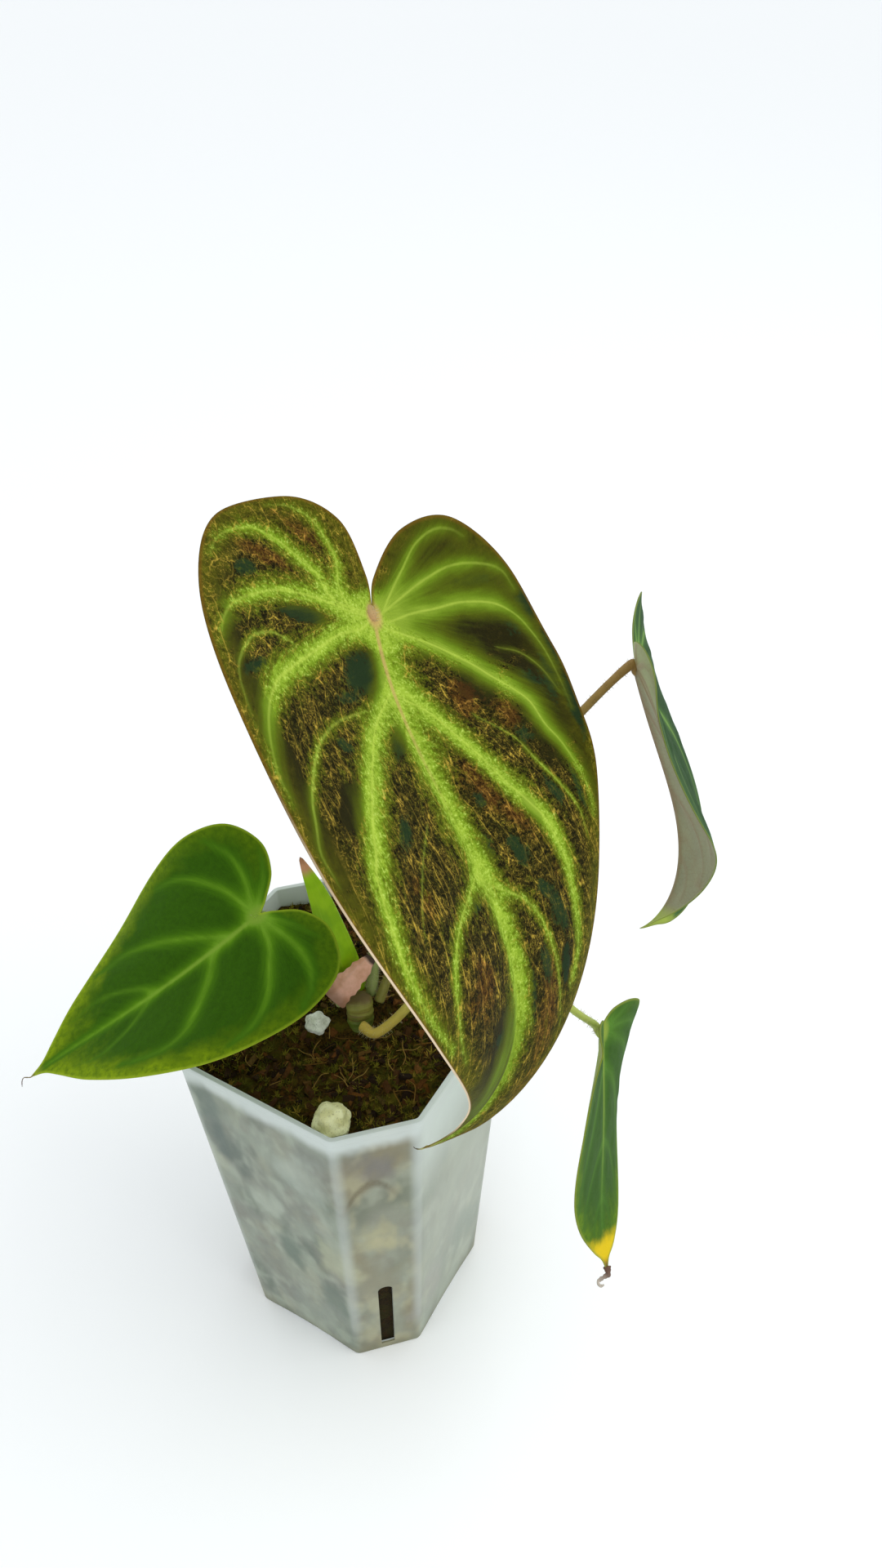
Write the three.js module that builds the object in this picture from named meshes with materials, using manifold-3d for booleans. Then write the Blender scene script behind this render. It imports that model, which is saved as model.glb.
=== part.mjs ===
// Potted velvet-leaf philodendron: heart-shaped blades on slender petioles in a tall square nursery pot.
// Millimetres, +Z up. The origin is the middle of the pot's underside, and the pot's walls face the X and Y axes.

import * as THREE from 'three';
import { mergeVertices } from 'three/addons/utils/BufferGeometryUtils.js';
import Module from 'manifold-3d';

const wasm = await Module();
wasm.setup();

// Pot
const POT_HEIGHT = 150;
const RIM_HALF = 45;
const RIM_BEVEL = 18;
const FOOT_HALF = 37;
const FOOT_BEVEL = 16;
const WALL = 1.1;
const FLOOR = 2.6;
const LIP_HEIGHT = 3;
const LIP_PROUD = 0.5;
const SLIT_WIDTH = 5;
const SLIT_LOW = 4;
const SLIT_HIGH = 50;
const SLIT_CUT = [32, 52];
const GROOVE_DEPTH = 1.4;
const GROOVE_WIDTH = 34;
const GROOVE_INNER = 15;
const DRAIN_RADIUS = 3.2;
const DRAIN_OFFSET = 24;

// Potting mix
const CLEARANCE = 0.3;
const GRAIN_CLEARANCE = 0.42;
const MIX_LEVEL = 142.6;
const MIX_RELIEF = 1.1;
const MIX_CELLS = 12;
const CHIP_COUNT = 44;
const CHIP_LENGTH = [4, 10];
const CHIP_WIDTH = [3, 6];
const CHIP_THICKNESS = [1.6, 3.2];
const CHIP_TILT = 0.5;
const CHIP_SPREAD = 40;
const CHIP_SEED = 11;
const CROWN_KEEP_OUT = 13;

// Blades
const BLADE_THICKNESS = 0.9;
const QUILT_HEIGHT = 0.9;
const MIDRIB_DEPTH = 1.1;
const VEIN_DEPTH = 0.35;
const VEIN_BOW = 0.12;
const SPINE_STEPS = 60;
const LOBE_REACH = -0.36;
const LOBE_LENGTH = 0.18;

// Half outline of a blade in shares of its length: across, then along from the petiole's joint to the tip.
// A lateral vein ends at each point, and starts on the midrib at the matching share in VEIN_STARTS.
const OUTLINE = [
  [0, -0.012], [0.011, -0.071], [0.073, -0.154], [0.191, -0.181], [0.332, -0.118], [0.403, 0.03], [0.419, 0.202],
  [0.414, 0.396], [0.329, 0.59], [0.2, 0.77], [0.08, 0.894], [0.023, 0.944], [0, 1],
];
const YOUNG_OUTLINE = [
  [0, -0.012], [0.031, -0.06], [0.103, -0.137], [0.217, -0.171], [0.35, -0.113], [0.419, 0.029], [0.435, 0.196],
  [0.415, 0.386], [0.33, 0.582], [0.2, 0.761], [0.078, 0.885], [0.026, 0.942], [0, 1],
];
const VEIN_STARTS = [0, 0, 0, 0, 0, 0, 0, 0, 0.15, 0.42, 0.68, 0.88, 1];

// Each blade: the joint's place, the length, the first heading of the midrib (yaw, pitch, roll in degrees), and how
// it goes on. Bend, twist and swing are turning rates in degrees per blade length, fold is the angle of the halves,
// cup their curl in radians per blade length, each at the joint, the middle and the tip. Lobe is the extra fold of
// the left and right basal lobes, and reach their length.
const BLADES = {
  front: {
    joint: [13, 10.2, 284], length: 145, heading: [-49.3, -39.8, -43.5],
    bend: [-116, 89, 220], twist: [-12, -1, 49], swing: [4, 24, -312],
    fold: [2, 13, 6], cup: [[-0.37, 0.76, 1.19], [-0.87, 0.27, 1.79]],
    lobe: [0, 0], reach: [1, 1], outline: OUTLINE, rows: 4, columns: 6,
  },
  left: {
    joint: [-16.7, -13.1, 187.7], length: 79.7, heading: [-116.9, -23, -16.2],
    bend: [23, -1, 20], twist: [16, 34, -57], swing: [-9, -15, 19],
    fold: [8, 12, 4], cup: [[0, 1.1, 0.3], [0.4, 0.15, 0.45]],
    lobe: [0, 0], reach: [1, 1], outline: YOUNG_OUTLINE, rows: 2, columns: 5,
  },
  upper_right: {
    joint: [53.5, 84.6, 238.8], length: 92.6, heading: [-1.1, -70.7, -27.9],
    bend: [-12, 45, 288], twist: [-12, 7, 92], swing: [-12, -40, -221],
    fold: [12, 21.5, 32], cup: [[0.5, 1, -0.05], [0.6, 0.8, 0.2]],
    lobe: [8, 9.5], reach: [0.8, 0.8], outline: OUTLINE, rows: 2, columns: 5,
  },
  lower_right: {
    joint: [77.7, 22.7, 155.7], length: 72.5, heading: [-63.8, -53.7, -67.6],
    bend: [-36.4, 5.9, -127.3], twist: [-16.4, 11.7, 94.7], swing: [3.9, -0.9, -31.6],
    fold: [16.9, -0.8, 7.1], cup: [[-0.09, -0.04, 0.54], [1.19, 0.44, 0.51]],
    lobe: [-44, -7], reach: [0.35, 0.55], outline: OUTLINE, rows: 2, columns: 5,
  },
};

// Crown and sheaths: centre lines, with the half sizes of their sections
const CROWN_LINE = [[8, -4, 118], [8, -2.5, 135], [6.8, 0, 146], [5.8, 1.2, 151.5]];
const CROWN_RADIUS = 4.2;
const NEW_SHEATH = {
  line: [[2.6, 4.4, 147.5], [-0.6, 5, 156], [-5.4, 5.8, 169], [-10.4, 7, 181.5], [-16.4, 7.9, 193.6]],
  section: [4.3, 1.5], wide: [0.55, 0.8, 0.2],
};
const OLD_SHEATH = {
  line: [[0.6, -4.9, 152.2], [2.8, -2.5, 156], [4.6, 0.3, 158.8], [6, 3.9, 160.9], [7, 7.9, 162.7]],
  section: [3.7, 0.8], wide: [0.85, 0, -0.53],
};

// Petioles: points between the crown and each blade's joint, the radii at the crown and at the blade, and how far
// the end stays back from the blade, as a share of its radius, because it meets the blade at an angle
const PETIOLES = {
  front: {
    line: [[6.9, 6.8, 147], [6.1, 9.6, 156], [5.2, 12.8, 170], [5.5, 13.5, 225], [6, 12.5, 262]],
    radii: [1.9, 1.5], tilt: 0.5,
  },
  left: {
    line: [[0.9, -1.6, 147], [-2.2, -1.7, 153.5], [-7.2, -6.2, 166], [-13.6, -11, 180]],
    radii: [1.5, 1.2], tilt: 0.5,
  },
  upper_right: {
    line: [[10.5, 5.3, 147], [11.4, 13.6, 157], [15, 25, 172], [27, 47, 200], [41.5, 69, 225.5]],
    radii: [1.6, 1.3], tilt: 0.4,
  },
  lower_right: {
    line: [
      [10.6, -4.6, 145.6], [15.6, -4.9, 145.6], [19.6, 0, 149], [27, 7, 160], [40, 12, 170], [57, 17, 171.5],
      [70.5, 19.6, 162.5],
    ],
    radii: [1.7, 1.1], tilt: 0.85,
  },
};

// Pumice grains lying in the mix: place and radius
const PUMICE = [
  [21.3, -36.6, 144.4, 5.7],
  [-2.6, -9.6, 144.2, 3.7],
  [-29, 12, 143.6, 4.1],
  [17, 33, 143.4, 3.6],
  [33, 14, 143.2, 3.1],
];

// Finishes
const FINISHES = {
  pot: { color: 0xc3c9cb, roughness: 0.45 },
  mix: { color: 0x2b2114, roughness: 0.95 },
  pumice: { color: 0xb9b893, roughness: 0.9 },
  crown: { color: 0x7f8b55, roughness: 0.6 },
  new_sheath: { color: 0x7fae22, roughness: 0.45 },
  old_sheath: { color: 0xa9746c, roughness: 0.7 },
  petiole_front: { color: 0x7c8a45, roughness: 0.7 },
  petiole_left: { color: 0x6f8f3c, roughness: 0.7 },
  petiole_upper_right: { color: 0x7d6a2a, roughness: 0.7 },
  petiole_lower_right: { color: 0x9aa84a, roughness: 0.7 },
  blade_front: { color: 0x3a3d14, roughness: 0.7 },
  blade_left: { color: 0x2f5a14, roughness: 0.6 },
  blade_upper_right: { color: 0x6f8a58, roughness: 0.6 },
  blade_lower_right: { color: 0x3f6f30, roughness: 0.6 },
};

const vector = (point) => new THREE.Vector3(...point);
const smoothCurve = (points) => new THREE.CatmullRomCurve3(points.map(vector), false, 'catmullrom', 0.5);

// Seeded random numbers between low and high
function randomSource(seed) {
  let state = seed;
  return (low, high) => {
    state = (state * 16807) % 2147483647;
    return low + (high - low) * (state / 2147483647);
  };
}

function cleanGeometry(geometry) {
  geometry.deleteAttribute('normal');
  geometry.deleteAttribute('uv');
  return mergeVertices(geometry, 1e-4);
}

function toSolid(geometry) {
  const clean = cleanGeometry(geometry);
  const vertProperties = Float32Array.from(clean.attributes.position.array);
  const triVerts = Uint32Array.from(clean.index.array);
  return new wasm.Manifold(new wasm.Mesh({ numProp: 3, vertProperties, triVerts }));
}

function toGeometry(solid) {
  const mesh = solid.getMesh();
  const geometry = new THREE.BufferGeometry();
  geometry.setAttribute('position', new THREE.BufferAttribute(mesh.vertProperties, 3));
  geometry.setIndex(new THREE.BufferAttribute(mesh.triVerts, 1));
  return geometry;
}

// A value given at the joint, the middle and the tip, at any share of the length
function along([start, middle, end], share) {
  const first = (1 - share) * (1 - 2 * share);
  return start * first + middle * 4 * share * (1 - share) + end * share * (2 * share - 1);
}

// Eight-sided prism with bevelled corners that tapers from low to high; a section is [half width, bevel]
function bevelledPrism(lowZ, highZ, lowSection, highSection) {
  const geometry = cleanGeometry(new THREE.CylinderGeometry(1, 1, 1, 8, 1).rotateX(Math.PI / 2));
  const position = geometry.attributes.position;
  for (let i = 0; i < position.count; i += 1) {
    const high = position.getZ(i) > 0;
    const [half, bevel] = high ? highSection : lowSection;
    const isCentre = Math.hypot(position.getX(i), position.getY(i)) < 0.5;
    const step = Math.round(Math.atan2(position.getY(i), position.getX(i)) / (Math.PI / 4));
    const quarter = Math.floor(step / 2) * (Math.PI / 2);
    const corner = step % 2 === 0 ? [half, half - bevel] : [half - bevel, half];
    const turned = new THREE.Vector2(...corner).rotateAround(new THREE.Vector2(), quarter);
    position.setXYZ(i, isCentre ? 0 : turned.x, isCentre ? 0 : turned.y, high ? highZ : lowZ);
  }
  return geometry;
}

// Section of the pot's outside at a height, moved in by a wall
function potSection(height, inset) {
  const share = height / POT_HEIGHT;
  const half = FOOT_HALF + (RIM_HALF - FOOT_HALF) * share - inset;
  const bevel = FOOT_BEVEL + (RIM_BEVEL - FOOT_BEVEL) * share - inset * (2 - Math.SQRT2);
  return [half, bevel];
}

function potPrism(lowZ, highZ, inset) {
  return toSolid(bevelledPrism(lowZ, highZ, potSection(lowZ, inset), potSection(highZ, inset)));
}

function buildPot() {
  const lipLow = POT_HEIGHT - LIP_HEIGHT;
  let pot = potPrism(0, POT_HEIGHT, 0).add(potPrism(lipLow, POT_HEIGHT, -LIP_PROUD));
  pot = pot.subtract(potPrism(FLOOR, POT_HEIGHT + 1, WALL));
  for (let quarter = 0; quarter < 4; quarter += 1) {
    const turn = quarter * (Math.PI / 2);
    pot = pot.subtract(toSolid(slitCutter().rotateZ(turn - Math.PI / 4)));
    pot = pot.subtract(toSolid(grooveCutter().rotateZ(turn)));
    pot = pot.subtract(toSolid(drainCutter().rotateZ(turn)));
  }
  return toGeometry(pot);
}

// Upright slit with a round top in a bevelled corner, cut from inside to outside along +X
function slitCutter() {
  const radius = SLIT_WIDTH / 2;
  const outline = new THREE.Shape();
  outline.moveTo(-radius, SLIT_LOW);
  outline.lineTo(radius, SLIT_LOW);
  outline.lineTo(radius, SLIT_HIGH - radius);
  outline.absarc(0, SLIT_HIGH - radius, radius, 0, Math.PI, false);
  outline.closePath();
  const [from, to] = SLIT_CUT;
  const slit = new THREE.ExtrudeGeometry(outline, { depth: to - from, bevelEnabled: false, curveSegments: 8 });
  return slit.rotateX(Math.PI / 2).rotateZ(Math.PI / 2).translate(from, 0, 0);
}

// Low arch under a wall that lets water out, running in to the middle pad
function grooveCutter() {
  const outline = new THREE.Shape();
  outline.moveTo(-GROOVE_WIDTH / 2, -1);
  outline.lineTo(GROOVE_WIDTH / 2, -1);
  outline.lineTo(GROOVE_WIDTH / 2, 0);
  outline.quadraticCurveTo(0, 2 * GROOVE_DEPTH, -GROOVE_WIDTH / 2, 0);
  outline.closePath();
  const depth = FOOT_HALF + 2 - GROOVE_INNER;
  const groove = new THREE.ExtrudeGeometry(outline, { depth, bevelEnabled: false, curveSegments: 8 });
  return groove.rotateX(Math.PI / 2).rotateZ(Math.PI / 2).translate(GROOVE_INNER, 0, 0);
}

function drainCutter() {
  const drain = new THREE.CylinderGeometry(DRAIN_RADIUS, DRAIN_RADIUS, 3 * FLOOR, 16);
  return drain.rotateX(Math.PI / 2).translate(DRAIN_OFFSET, 0, 0);
}

// Rolling surface of the mix
function mixHeight(x, y) {
  const rolls = Math.sin(x / 5.1 + 0.7) * Math.cos(y / 6.3) + 0.6 * Math.sin(x / 2.9 - y / 3.7);
  return MIX_LEVEL + MIX_RELIEF * rolls;
}

// Body of the mix: a gridded box whose square section is squeezed to the pot's bevelled one
function mixBody() {
  const inset = WALL + CLEARANCE;
  const box = new THREE.BoxGeometry(2, 2, 2, MIX_CELLS, MIX_CELLS, 1);
  const geometry = cleanGeometry(box);
  const position = geometry.attributes.position;
  for (let i = 0; i < position.count; i += 1) {
    const high = position.getZ(i) > 0;
    const [half, bevel] = potSection(high ? MIX_LEVEL : FLOOR + CLEARANCE, inset);
    let x = position.getX(i) * half;
    let y = position.getY(i) * half;
    const reach = Math.max(Math.abs(x), Math.abs(y));
    const limit = (2 * half - bevel) / half;
    const squeeze = Math.min(1, (limit * reach) / (Math.abs(x) + Math.abs(y) || 1));
    x *= squeeze;
    y *= squeeze;
    position.setXYZ(i, x, y, high ? mixHeight(x, y) : FLOOR + CLEARANCE);
  }
  return toSolid(geometry);
}

// Bark chip: a flat box turned at random, sunk to about half its thickness
function barkChip(random) {
  const chip = new THREE.BoxGeometry(random(...CHIP_LENGTH), random(...CHIP_WIDTH), random(...CHIP_THICKNESS));
  chip.rotateX(random(-CHIP_TILT, CHIP_TILT));
  chip.rotateY(random(-CHIP_TILT, CHIP_TILT));
  chip.rotateZ(random(0, Math.PI));
  const x = random(-CHIP_SPREAD, CHIP_SPREAD);
  const y = random(-CHIP_SPREAD, CHIP_SPREAD);
  const clear = Math.hypot(x - CROWN_LINE[1][0], y - CROWN_LINE[1][1]) > CROWN_KEEP_OUT;
  return clear ? toSolid(chip.translate(x, y, mixHeight(x, y))) : null;
}

function buildMix(hollows) {
  const random = randomSource(CHIP_SEED);
  let mix = mixBody();
  for (let i = 0; i < CHIP_COUNT; i += 1) {
    const chip = barkChip(random);
    mix = chip ? mix.add(chip) : mix;
  }
  mix = mix.intersect(potPrism(FLOOR + CLEARANCE, POT_HEIGHT - LIP_HEIGHT, WALL + CLEARANCE));
  for (const hollow of hollows) {
    mix = mix.subtract(toSolid(hollow));
  }
  const pieces = mix.decompose();
  pieces.sort((a, b) => b.volume() - a.volume());
  return toGeometry(pieces[0]);
}

// Rough round grain, grown by a margin when it is used as a hollow in the mix
function pumiceGrain([x, y, z, radius], margin) {
  const grain = cleanGeometry(new THREE.IcosahedronGeometry(1, 1));
  const position = grain.attributes.position;
  for (let i = 0; i < position.count; i += 1) {
    const spot = new THREE.Vector3().fromBufferAttribute(position, i);
    const bump = 1 + 0.12 * Math.sin(5.3 * spot.x + x) * Math.cos(4.1 * spot.y + y) + 0.06 * Math.sin(9 * spot.z);
    spot.multiplyScalar(radius * bump + margin);
    position.setXYZ(i, spot.x + x, spot.y + y, 0.86 * spot.z + z);
  }
  return grain;
}

// Bar swept along a centre line with an oval section that starts with its wide axis along a direction.
// Size gives the section's share at each share of the length.
function sweptBar(line, [halfWidth, halfDepth], { wide = [1, 0, 0], sides = 8, steps = 16, size = () => 1 } = {}) {
  const path = smoothCurve(line);
  const { normals, binormals } = path.computeFrenetFrames(steps, false);
  const turn = Math.atan2(vector(wide).dot(binormals[0]), vector(wide).dot(normals[0]));
  const section = new THREE.Shape();
  section.absellipse(0, 0, halfWidth, halfDepth, 0, 2 * Math.PI, false, turn);
  const bar = new THREE.ExtrudeGeometry(section, {
    steps, curveSegments: sides / 2, bevelEnabled: false, extrudePath: path,
  });
  const geometry = cleanGeometry(bar);
  const centres = path.getSpacedPoints(steps);
  const position = geometry.attributes.position;
  for (let i = 0; i < position.count; i += 1) {
    const spot = new THREE.Vector3().fromBufferAttribute(position, i);
    const distances = centres.map((centre) => centre.distanceTo(spot));
    const nearest = distances.indexOf(Math.min(...distances));
    spot.sub(centres[nearest]).multiplyScalar(size(nearest / steps)).add(centres[nearest]);
    position.setXYZ(i, spot.x, spot.y, spot.z);
  }
  return geometry;
}

// Line with both ends moved out by a margin, for a hollow that clears what lies in it
function lengthened(line, margin) {
  const outward = (end, inner) => vector(end).sub(vector(inner)).setLength(margin).add(vector(end)).toArray();
  const last = line.length - 1;
  return [outward(line[0], line[1]), ...line.slice(1, last), outward(line[last], line[last - 1])];
}

function crownBar(margin) {
  const radius = CROWN_RADIUS + margin;
  const size = (share) => (share > 0.9 ? 0.8 : 1);
  return sweptBar(lengthened(CROWN_LINE, margin), [radius, radius], { sides: 12, steps: 10, size });
}

// Upright sheath, widest below its middle and pointed at the top
function newSheathBar() {
  const size = (share) => 0.72 + 0.4 * Math.sin(Math.PI * Math.sqrt(share)) - 0.6 * share ** 4;
  const { line, section, wide } = NEW_SHEATH;
  return sweptBar(line, section, { wide, sides: 12, steps: 16, size });
}

function oldSheathBar() {
  const size = (share) => 1 - 0.65 * share ** 3;
  const { line, section, wide } = OLD_SHEATH;
  return sweptBar(line, section, { wide, sides: 12, steps: 14, size });
}

// The midrib's frame at even steps from the lobes' reach to the tip, turned on by the blade's rates
class BladeSurface {
  constructor(spec) {
    this.spec = spec;
    const [yaw, pitch, roll] = spec.heading.map(THREE.MathUtils.degToRad);
    const ahead = new THREE.Vector3(
      Math.cos(yaw) * Math.cos(pitch),
      Math.sin(yaw) * Math.cos(pitch),
      Math.sin(pitch),
    );
    const up = new THREE.Vector3(-Math.cos(yaw) * Math.sin(pitch), -Math.sin(yaw) * Math.sin(pitch), Math.cos(pitch));
    const side = new THREE.Vector3().crossVectors(up, ahead);
    const start = {
      place: vector(spec.joint),
      ahead,
      side: side.clone().multiplyScalar(Math.cos(roll)).addScaledVector(up, Math.sin(roll)),
      up: up.clone().multiplyScalar(Math.cos(roll)).addScaledVector(side, -Math.sin(roll)),
    };
    const back = this.walk(start, -1, Math.round(-LOBE_REACH * SPINE_STEPS));
    const forward = this.walk(start, 1, SPINE_STEPS);
    this.frames = [...back.reverse(), start, ...forward];
    this.first = back.length;
  }

  walk(start, sign, count) {
    const frames = [];
    let frame = start;
    for (let i = 0; i < count; i += 1) {
      frame = this.step(frame, (sign * (i + 0.5)) / SPINE_STEPS, sign / SPINE_STEPS);
      frames.push(frame);
    }
    return frames;
  }

  step(frame, share, part) {
    const { bend, twist, swing, length } = this.spec;
    const turn = new THREE.Vector3()
      .addScaledVector(frame.ahead, along(twist, share))
      .addScaledVector(frame.side, along(bend, share))
      .addScaledVector(frame.up, along(swing, share))
      .multiplyScalar(THREE.MathUtils.degToRad(part));
    const angle = turn.length();
    const axis = turn.clone().normalize();
    const halfway = frame.ahead.clone().applyAxisAngle(axis, angle / 2);
    return {
      place: frame.place.clone().addScaledVector(halfway, part * length),
      ahead: frame.ahead.clone().applyAxisAngle(axis, angle),
      side: frame.side.clone().applyAxisAngle(axis, angle),
      up: frame.up.clone().applyAxisAngle(axis, angle),
    };
  }

  frameAt(share) {
    const exact = THREE.MathUtils.clamp(share * SPINE_STEPS + this.first, 0, this.frames.length - 1.001);
    const index = Math.floor(exact);
    const [from, to] = [this.frames[index], this.frames[index + 1]];
    const mix = (name) => from[name].clone().lerp(to[name], exact - index);
    return { place: mix('place'), side: mix('side').normalize(), up: mix('up').normalize() };
  }

  // Point of the blade's middle surface: across and along are millimetres on the flat blade
  at(across, alongLength) {
    const { fold, cup, lobe, length } = this.spec;
    const share = THREE.MathUtils.clamp(alongLength / length, LOBE_REACH, 1);
    const half = across < 0 ? 0 : 1;
    const lobeShare = Math.min(share, 0) / LOBE_LENGTH;
    const tilt = THREE.MathUtils.degToRad(along(fold, share) + lobe[half] * lobeShare ** 2);
    const curl = along(cup[half], share) / length || 1e-6;
    const run = Math.abs(across);
    const out = (Math.sin(tilt) - Math.sin(tilt - curl * run)) / curl;
    const rise = (Math.cos(tilt - curl * run) - Math.cos(tilt)) / curl;
    const { place, side, up } = this.frameAt(share);
    return place.addScaledVector(side, Math.sign(across) * out).addScaledVector(up, rise);
  }

  normalAt(across, alongLength) {
    const step = 0.4;
    const far = this.at(across, alongLength + step).sub(this.at(across, alongLength - step));
    const wide = this.at(across + step, alongLength).sub(this.at(across - step, alongLength));
    return far.cross(wide).normalize();
  }
}

// Place on the flat half blade: vein counts the outline's points, share runs from the midrib to the margin
function flatPoint(spec, halfIndex, vein, share) {
  const last = spec.outline.length - 1;
  const curve = smoothCurve(spec.outline.map(([across, ahead]) => [across, ahead, 0]));
  const margin = curve.getPoint(vein / last);
  const sinus = spec.outline[0][1];
  margin.y = margin.y < sinus ? sinus + (margin.y - sinus) * spec.reach[halfIndex] : margin.y;
  const low = Math.min(Math.floor(vein), last - 1);
  const start = THREE.MathUtils.lerp(VEIN_STARTS[low], VEIN_STARTS[low + 1], vein - low);
  const chord = new THREE.Vector2(margin.x, margin.y - start);
  const bow = VEIN_BOW * THREE.MathUtils.smoothstep(vein, 4, 7) * 4 * share * (1 - share);
  const across = chord.x * share + chord.y * bow;
  const ahead = start + chord.y * share - chord.x * bow;
  return [across * spec.length, ahead * spec.length];
}

// Blade with quilted panels between its veins, a raised midrib and raised veins underneath.
// Both faces are split alike, so they stay parallel.
function buildBlade(spec) {
  const surface = new BladeSurface(spec);
  const last = spec.outline.length - 1;
  const rowCount = last * spec.rows;
  const positions = [];
  const triangles = [];
  const addHalf = (halfIndex) => {
    const sign = halfIndex === 0 ? -1 : 1;
    const offset = positions.length / 3;
    const vertex = (row, column, face) => offset + 2 * (row * (spec.columns + 1) + column) + face;
    for (let row = 0; row <= rowCount; row += 1) {
      for (let column = 0; column <= spec.columns; column += 1) {
        const vein = row / spec.rows;
        const share = column / spec.columns;
        const [across, ahead] = flatPoint(spec, halfIndex, vein, share);
        const place = surface.at(sign * across, ahead);
        const normal = surface.normalAt(sign * across, ahead);
        const between = Math.sin(Math.PI * vein) ** 2;
        const taper = 1 - Math.min(1, Math.max(0, ahead / spec.length));
        const quilt = QUILT_HEIGHT * between * Math.sin(Math.PI * share) * Math.sqrt(taper);
        const rib = column === 0 ? MIDRIB_DEPTH * Math.sqrt(taper) : VEIN_DEPTH * (1 - between) * (1 - share);
        const top = place.clone().addScaledVector(normal, quilt + BLADE_THICKNESS / 2);
        const under = place.clone().addScaledVector(normal, quilt - BLADE_THICKNESS / 2 - rib);
        positions.push(...top.toArray(), ...under.toArray());
      }
    }
    const addTriangle = (a, b, c) => triangles.push(...(sign > 0 ? [a, b, c] : [a, c, b]));
    const addQuad = (a, b, c, d) => {
      addTriangle(a, b, c);
      addTriangle(a, c, d);
    };
    for (let row = 0; row < rowCount; row += 1) {
      for (let column = 0; column < spec.columns; column += 1) {
        const corners = [[row, column], [row + 1, column], [row + 1, column + 1], [row, column + 1]];
        const [a, b, c, d] = corners.map(([r, k]) => vertex(r, k, 0));
        addQuad(a, b, c, d);
        addTriangle(a + 1, c + 1, b + 1);
        addTriangle(a + 1, d + 1, c + 1);
      }
      const edge = spec.columns;
      addQuad(vertex(row, edge, 0), vertex(row + 1, edge, 0), vertex(row + 1, edge, 1), vertex(row, edge, 1));
    }
  };
  addHalf(0);
  addHalf(1);
  return closedGeometry(positions, triangles);
}

// Merges shared points, drops triangles that have shrunk to a line, and turns the faces outwards
function closedGeometry(positions, triangles) {
  const loose = new THREE.BufferGeometry();
  loose.setAttribute('position', new THREE.Float32BufferAttribute(positions, 3));
  loose.setIndex(triangles);
  const merged = mergeVertices(loose, 1e-3);
  const index = merged.index.array;
  const kept = [];
  let volume = 0;
  for (let i = 0; i < index.length; i += 3) {
    const [a, b, c] = [index[i], index[i + 1], index[i + 2]];
    if (a !== b && b !== c && c !== a) {
      const [p, q, r] = [a, b, c].map((k) => new THREE.Vector3().fromBufferAttribute(merged.attributes.position, k));
      volume += p.dot(q.cross(r));
      kept.push([a, b, c]);
    }
  }
  merged.setIndex(kept.flatMap(([a, b, c]) => (volume > 0 ? [a, b, c] : [a, c, b])));
  return merged;
}

// Petiole from the crown to the underside of its blade, thinner towards the blade
function buildPetiole(name) {
  const { line, radii: [radius, tipRadius], tilt } = PETIOLES[name];
  const spec = BLADES[name];
  const { side, up } = new BladeSurface(spec).frameAt(0);
  const ahead = new THREE.Vector3().crossVectors(side, up).negate();
  const under = BLADE_THICKNESS / 2 + MIDRIB_DEPTH + CLEARANCE + tilt * tipRadius;
  const end = vector(spec.joint).addScaledVector(up, -under).addScaledVector(ahead, -tipRadius);
  const size = (share) => THREE.MathUtils.lerp(1, tipRadius / radius, share);
  return sweptBar([...line, end.toArray()], [radius, radius], { sides: 8, steps: 20, size });
}

const group = new THREE.Group();

function addPiece(name, geometry, finishName) {
  const { color, roughness } = FINISHES[finishName];
  const material = new THREE.MeshStandardMaterial({ color, roughness, metalness: 0 });
  const mesh = new THREE.Mesh(geometry, material);
  mesh.name = name;
  group.add(mesh);
}

const grainHollows = PUMICE.map((grain) => pumiceGrain(grain, GRAIN_CLEARANCE));
addPiece('pot', buildPot(), 'pot');
addPiece('potting_mix', buildMix([crownBar(CLEARANCE), ...grainHollows]), 'mix');
PUMICE.forEach((grain, i) => addPiece(`pumice_${i + 1}`, pumiceGrain(grain, 0), 'pumice'));
addPiece('crown', crownBar(0), 'crown');
addPiece('sheath_new', newSheathBar(), 'new_sheath');
addPiece('sheath_old', oldSheathBar(), 'old_sheath');
for (const name of Object.keys(BLADES)) {
  addPiece(`petiole_${name}`, buildPetiole(name), `petiole_${name}`);
  addPiece(`blade_${name}`, buildBlade(BLADES[name]), `blade_${name}`);
}

export default group;
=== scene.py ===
"""Looks of a potted velvet-leaf philodendron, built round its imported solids.

Metres, +Z up, the middle of the pot's underside at the origin. Blade, petiole and sheath shapes follow
the same named values as the solids, in millimetres.
"""

import logging
import math
import random
from dataclasses import dataclass, field
from enum import Enum
from typing import Callable, Sequence, Union

import bmesh
import bpy
import numpy as np
from mathutils import Matrix, Vector, noise


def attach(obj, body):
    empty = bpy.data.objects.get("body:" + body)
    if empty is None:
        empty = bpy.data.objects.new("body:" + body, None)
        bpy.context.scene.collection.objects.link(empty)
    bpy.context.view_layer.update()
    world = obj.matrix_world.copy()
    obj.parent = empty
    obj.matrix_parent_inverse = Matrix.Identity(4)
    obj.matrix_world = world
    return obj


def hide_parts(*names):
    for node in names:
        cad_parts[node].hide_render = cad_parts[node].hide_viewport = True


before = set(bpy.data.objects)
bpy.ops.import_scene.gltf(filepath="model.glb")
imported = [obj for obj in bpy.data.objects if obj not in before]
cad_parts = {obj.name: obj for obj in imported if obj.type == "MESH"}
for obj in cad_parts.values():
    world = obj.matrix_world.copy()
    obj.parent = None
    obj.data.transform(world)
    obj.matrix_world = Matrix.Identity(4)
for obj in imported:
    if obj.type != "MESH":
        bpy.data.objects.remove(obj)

LOG = logging.getLogger("philodendron")
MM = 0.001
PER_METRE = 1000.0
# How near points are that become one, in metres
WELD = 2e-6
# Steps between two points of a stalk's or sheath's line
LINE_STEPS = 24
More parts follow.
